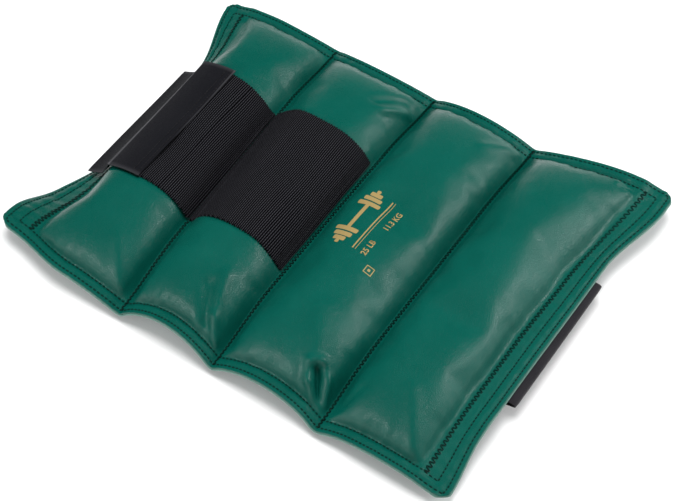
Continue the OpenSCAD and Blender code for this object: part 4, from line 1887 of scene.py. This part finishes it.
@dataclass
class LoopStrap:
    """The loop strap under the right flap: sewn on, folded at the edge and tucked back."""

    skin: PadSkin
    stitcher: Stitcher
    palette: Palette
    front: float = -0.0622
    back: float = 0.0640
    thick: float = 0.0016
    fold_x: float = 0.1994
    fold_z: float = 0.01435
    bend: float = 0.0014
    tilt: float = 17.0
    tail: float = 0.040
    root_x: float = 0.1765
    flap_x: float = 0.1915
    flap_z: float = 0.0177
    rows: tuple[float, float] = (0.1790, 0.1840)
    straight: float = 0.0040
    rest_z: float = 0.0017

    def build(self) -> None:
        """Make the sewn length, the fold, the tail and its pile."""
        ys = np.linspace(self.front, self.back, 33)
        under = []
        xs = np.linspace(self.root_x, self.fold_x - self.straight, 14)
        for x in xs:
            flap = [self.skin.height(min(x, self.flap_x), y, Sheet.BOTTOM) or self.flap_z for y in ys]
            fit = np.polynomial.polynomial.polyfit(ys, flap, 2)
            under.append(np.polynomial.polynomial.polyval(ys, fit) - 0.0004 - self.thick / 2)
        low = np.array(under)
        join_z = self.fold_z + self.bend + 0.0002
        ease = smooth(xs, 0.186, xs[-1])[:, None]
        low = low * (1 - ease) + join_z * ease
        sewn = np.stack([np.repeat(xs[:, None], len(ys), 1), np.repeat(ys[None], len(xs), 0), low], axis=2)
        root = self._tape("loop_strap_root", spread(sewn, 0, 2))
        fix_to(root, "pocket_4", "loop_webbing", "loop_strap")
        self._fold(ys, join_z)
        self._tail(ys)
        stitches = []
        for x in self.rows:
            ends = np.arange(self.front + 0.003, self.back - 0.002, 0.003)
            row = np.argmin(np.abs(xs - x))
            z = np.interp(ends, ys, low[row]) - self.thick / 2
            path = [(Vector((xs[row], y, h)), Vector((0, 0, -1))) for y, h in zip(ends, z)]
            stitches += self.stitcher.row(path)
        piece = self.stitcher.piece("loop_strap_stitches", stitches, self.palette.dark_thread)
        fix_to(piece, "pocket_4", "dark_thread", "loop_thread")

    def _tape(self, name: str, middle: np.ndarray) -> Piece:
        """Make one length of the strap."""
        return Tape(name, middle, self.thick, edge_round=0.6).build(self.palette.webbing)

    def _fold(self, ys: np.ndarray, join_z: float) -> None:
        """Make the turn of the tape from the sewn length down into the tail."""
        lean = math.radians(self.tilt)
        path = [(self.fold_x - self.straight, join_z), (self.fold_x - 0.0018, join_z)]
        for k in range(1, 12):
            turn = math.pi / 2 - (math.pi - lean) * k / 11
            path.append((self.fold_x + self.bend * math.cos(turn), self.fold_z + self.bend * math.sin(turn)))
        last = path[-1]
        path.append((last[0] - 0.0035 * math.cos(lean), last[1] - 0.0035 * math.sin(lean)))
        grid = np.array([[(x, y, z) for y in ys] for x, z in path])
        piece = self._tape("loop_strap_fold", grid)
        self.tail_start = path[-1]
        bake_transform(piece)
        report(piece, "pocket_4 and tail")

    def _tail(self, ys: np.ndarray) -> None:
        """Make the tail and the pile on its lower side."""
        lean = math.radians(self.tilt)
        x0, z0 = self.tail_start
        length = self.tail - self.straight
        steps = np.linspace(0, length, 16)
        path = [(x0 - d * math.cos(lean), z0 - d * math.sin(lean)) for d in steps]
        grid = np.array([[(x, y, max(z, self.rest_z)) for y in ys] for x, z in path])
        tail = self._tape("loop_strap_tail", grid[::-1])
        fix_to(tail, "tail", "loop_webbing", "loop_tail")
        inner = np.array([[(x + math.sin(lean) * 0.0011, y, max(z, self.rest_z) - 0.0011) for y in ys[1:-1]]
                          for x, z in path[2:]])
        pile = Tape("loop_pile_pad", inner[::-1], 0.0007, edge_round=0.5).build(self.palette.pile)
        fix_to(pile, "tail", "loop_pile", "loop_pile")


# ---------------------------------------------------------------- printed mark


@dataclass
class WeightMark:
    """The gold print on pocket 3: a dumbbell sign, two rules, the weight in figures and a small square."""

    skin: PadSkin
    palette: Palette
    raise_by: float = 0.00016
    film: float = 0.00006
    capital: float = 0.0046
    cut_step: float = 0.003

    def build(self) -> None:
        """Print every sign as one piece."""
        parts = self._dumbbell() + self._rules() + self._square()
        parts.append(self._text("25 LB", 0.0497, -0.0300, self.capital))
        parts.append(self._text("11.3 KG", 0.0505, -0.0010, self.capital))
        deselect_all()
        for part in parts:
            part.select_set(True)
        bpy.context.view_layer.objects.active = parts[0]
        bpy.ops.object.join()
        piece = bpy.context.object
        piece.name = "weight_print"
        piece.data.name = "weight_print"
        paint(piece, self.palette.foil)
        fix_to(piece, "pocket_3", "gold_print", "weight_mark")

    def _printed(self, flat: Piece) -> Piece:
        """Lay a flat shape on the vinyl and give it a film's thickness.

        Args:
            flat: A mesh drawn flat in the plan, with a thickness of one unit in z.

        Returns:
            The same object.
        """
        for vertex in flat.data.vertices:
            above = vertex.co.z > 0.5
            z = self.skin.height(vertex.co.x, vertex.co.y) or 0.0
            vertex.co.z = z + self.raise_by + (self.film if above else 0.0)
        return flat

    def _plate(self, x: float, y: float, size_x: float, size_y: float) -> Piece:
        """Make one bar with rounded corners, cut fine enough to follow the vinyl."""
        deselect_all()
        bpy.ops.mesh.primitive_cube_add(size=1.0, location=(x, y, 0.5))
        bar = bpy.context.object
        bar.scale = (size_x, size_y, 1.0)
        bpy.ops.object.transform_apply(location=True, rotation=True, scale=True)
        work = bmesh.new()
        work.from_mesh(bar.data)
        upright = [e for e in work.edges if abs(e.verts[0].co.z - e.verts[1].co.z) > 0.5]
        bmesh.ops.bevel(work, geom=upright, offset=min(size_x, size_y) * 0.28, segments=3, profile=0.5,
                        affect="EDGES", clamp_overlap=True)
        for axis, place, size in ((0, x, size_x), (1, y, size_y)):
            steps = max(2, int(size / self.cut_step))
            for k in range(1, steps):
                cut = place - size / 2 + size * k / steps
                point, way = [0.0, 0.0, 0.0], [0.0, 0.0, 0.0]
                point[axis], way[axis] = cut, 1.0
                bmesh.ops.bisect_plane(work, geom=work.verts[:] + work.edges[:] + work.faces[:],
                                       plane_co=point, plane_no=way)
        work.to_mesh(bar.data)
        work.free()
        return self._printed(bar)

    def _dumbbell(self) -> list[Piece]:
        """A dumbbell sign that reads along +Y."""
        x, y = 0.0235, 0.0005
        out = [self._plate(x, y, 0.0032, 0.0300)]
        for way in (-1, 1):
            for step, size in ((0.0150, 0.0190), (0.0206, 0.0150), (0.0256, 0.0100)):
                out.append(self._plate(x, y + way * step, size, 0.0042))
            out.append(self._plate(x, y + way * 0.0292, 0.0032, 0.0030))
        return out

    def _rules(self) -> list[Piece]:
        """Two thin rules between the dumbbell and the figures."""
        return [self._plate(0.0378, -0.0010, 0.0011, 0.0560), self._plate(0.0402, -0.0010, 0.0005, 0.0560)]

    def _square(self) -> list[Piece]:
        """A small square outline with a square dot in it."""
        x, y, size, line = 0.0590, -0.0388, 0.0062, 0.0007
        inner = size - line * 1.2
        return [
            self._plate(x - size / 2, y, line, size + line), self._plate(x + size / 2, y, line, size + line),
            self._plate(x, y - size / 2, inner, line), self._plate(x, y + size / 2, inner, line),
            self._plate(x, y, 0.0022, 0.0022),
        ]

    def _text(self, words: str, x: float, y: float, height: float) -> Piece:
        """Print a weight in figures, reading along +Y.

        Args:
            words: The figures and their unit.
            x: Place of the baseline.
            y: Start of the first figure.
            height: Height of a capital.

        Returns:
            The printed figures.
        """
        deselect_all()
        bpy.ops.object.text_add(location=(x, y, 0.0), rotation=(0, 0, math.pi / 2))
        label = bpy.context.object
        label.data.body = words
        label.data.size = height / 0.7
        label.data.resolution_u = 4
        label.data.extrude = 0.0
        label.data.offset = 0.00016
        bpy.ops.object.convert(target="MESH")
        label = bpy.context.object
        bpy.ops.object.transform_apply(location=True, rotation=True, scale=True)
        work = bmesh.new()
        work.from_mesh(label.data)
        bmesh.ops.remove_doubles(work, verts=work.verts[:], dist=1e-6)
        made = bmesh.ops.extrude_face_region(work, geom=work.faces[:])
        for item in made["geom"]:
            if isinstance(item, bmesh.types.BMVert):
                item.co.z = 1.0
        bmesh.ops.recalc_face_normals(work, faces=work.faces[:])
        work.to_mesh(label.data)
        work.free()
        return self._printed(label)


# ---------------------------------------------------------------- studio


@dataclass
class Studio:
    """The floor, the lights and the camera."""

    palette: Palette
    azimuth: float = 34.29
    elevation: float = 54.22
    roll: float = -0.41
    distance: float = 1.3994
    focal_share: float = 1834.2 / 679.0
    target: Triple = (0.0187, -0.01785, 0.015)
    sky: float = 0.43

    def build(self) -> None:
        """Set the stage."""
        self._camera()
        self._floor()
        self._world()
        self._light("key_right_back", (1.10, 0.72, 0.66), (0.05, 0.0, 0.02), 0.56, 0.64, 11.0)
        self._light("key_front_left", (-0.50, -1.32, 0.62), (-0.02, -0.05, 0.02), 0.62, 0.40, 8.5)
        top = self._light("fill_top", (-0.15, 0.35, 1.9), (0.0, 0.0, 0.0), 1.2, 1.2, 39.0)
        top.visible_glossy = False
        scene = bpy.context.scene
        scene.view_settings.view_transform = "Standard"
        scene.view_settings.look = "None"

    def _camera(self) -> None:
        """Place the camera."""
        a, e, r = (math.radians(v) for v in (self.azimuth, self.elevation, self.roll))
        back = Vector((math.sin(a) * math.cos(e), -math.cos(a) * math.cos(e), math.sin(e)))
        right = Vector((math.cos(a), math.sin(a), 0.0))
        up = back.cross(right)
        turned_right = right * math.cos(r) + up * math.sin(r)
        turned_up = up * math.cos(r) - right * math.sin(r)
        data = bpy.data.cameras.new("camera")
        data.sensor_width = 36.0
        data.lens = self.focal_share * 36.0
        data.clip_start, data.clip_end = 0.05, 20.0
        camera = bpy.data.objects.new("camera", data)
        place = Vector(self.target) + back * self.distance
        turn = Matrix((turned_right, turned_up, back)).transposed().to_4x4()
        camera.matrix_world = Matrix.Translation(place) @ turn
        bpy.context.scene.collection.objects.link(camera)
        bpy.context.scene.camera = camera

    def _floor(self) -> None:
        """Lay a wide pale floor."""
        deselect_all()
        bpy.ops.mesh.primitive_grid_add(x_subdivisions=8, y_subdivisions=8, size=8.0,
                                        location=(0, 0, -0.0004))
        floor = bpy.context.object
        floor.name = "floor"
        bpy.ops.object.transform_apply(location=True, rotation=True, scale=True)
        paint(floor, self.palette.floor)

    def _world(self) -> None:
        """Light the scene with an even pale sky that glossy surfaces don't mirror."""
        world = bpy.data.worlds.new("studio")
        world.use_nodes = True
        sky = next(n for n in world.node_tree.nodes if n.type == "BACKGROUND")
        sky.inputs["Color"].default_value = (1.0, 1.0, 1.0, 1.0)
        sky.inputs["Strength"].default_value = self.sky
        world.cycles_visibility.glossy = False
        bpy.context.scene.world = world

    def _light(self, name: str, place: Triple, aim: Triple,
               width: float, height: float, power: float) -> Piece:
        """Add a soft box that faces a point.

        Args:
            name: Name of the light.
            place: Where it stands.
            aim: What it faces.
            width: Width of the box.
            height: Height of the box.
            power: Power in watts.

        Returns:
            The light.
        """
        data = bpy.data.lights.new(name, "AREA")
        data.shape = "RECTANGLE"
        data.size, data.size_y = width, height
        data.energy = power
        light = bpy.data.objects.new(name, data)
        light.location = place
        light.rotation_euler = (Vector(aim) - Vector(place)).to_track_quat("-Z", "Y").to_euler()
        bpy.context.scene.collection.objects.link(light)
        return light


def main() -> None:
    """Build the cuff and its stage, and report each piece."""
    logging.basicConfig(level=logging.INFO, format="%(name)s: %(message)s")
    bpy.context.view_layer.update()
    palette = Palette()
    Studio(palette).build()
    skin = PadSkin(PadShape(), ClothRun())
    stitcher = Stitcher(skin, palette)
    VinylCover(skin, palette).build()
    Filling(skin, palette).build()
    Sewing(stitcher, palette).build()
    Closure(skin, stitcher, palette).build()
    LoopStrap(skin, stitcher, palette).build()
    WeightMark(skin, palette).build()


if __name__ == "__main__":
    main()
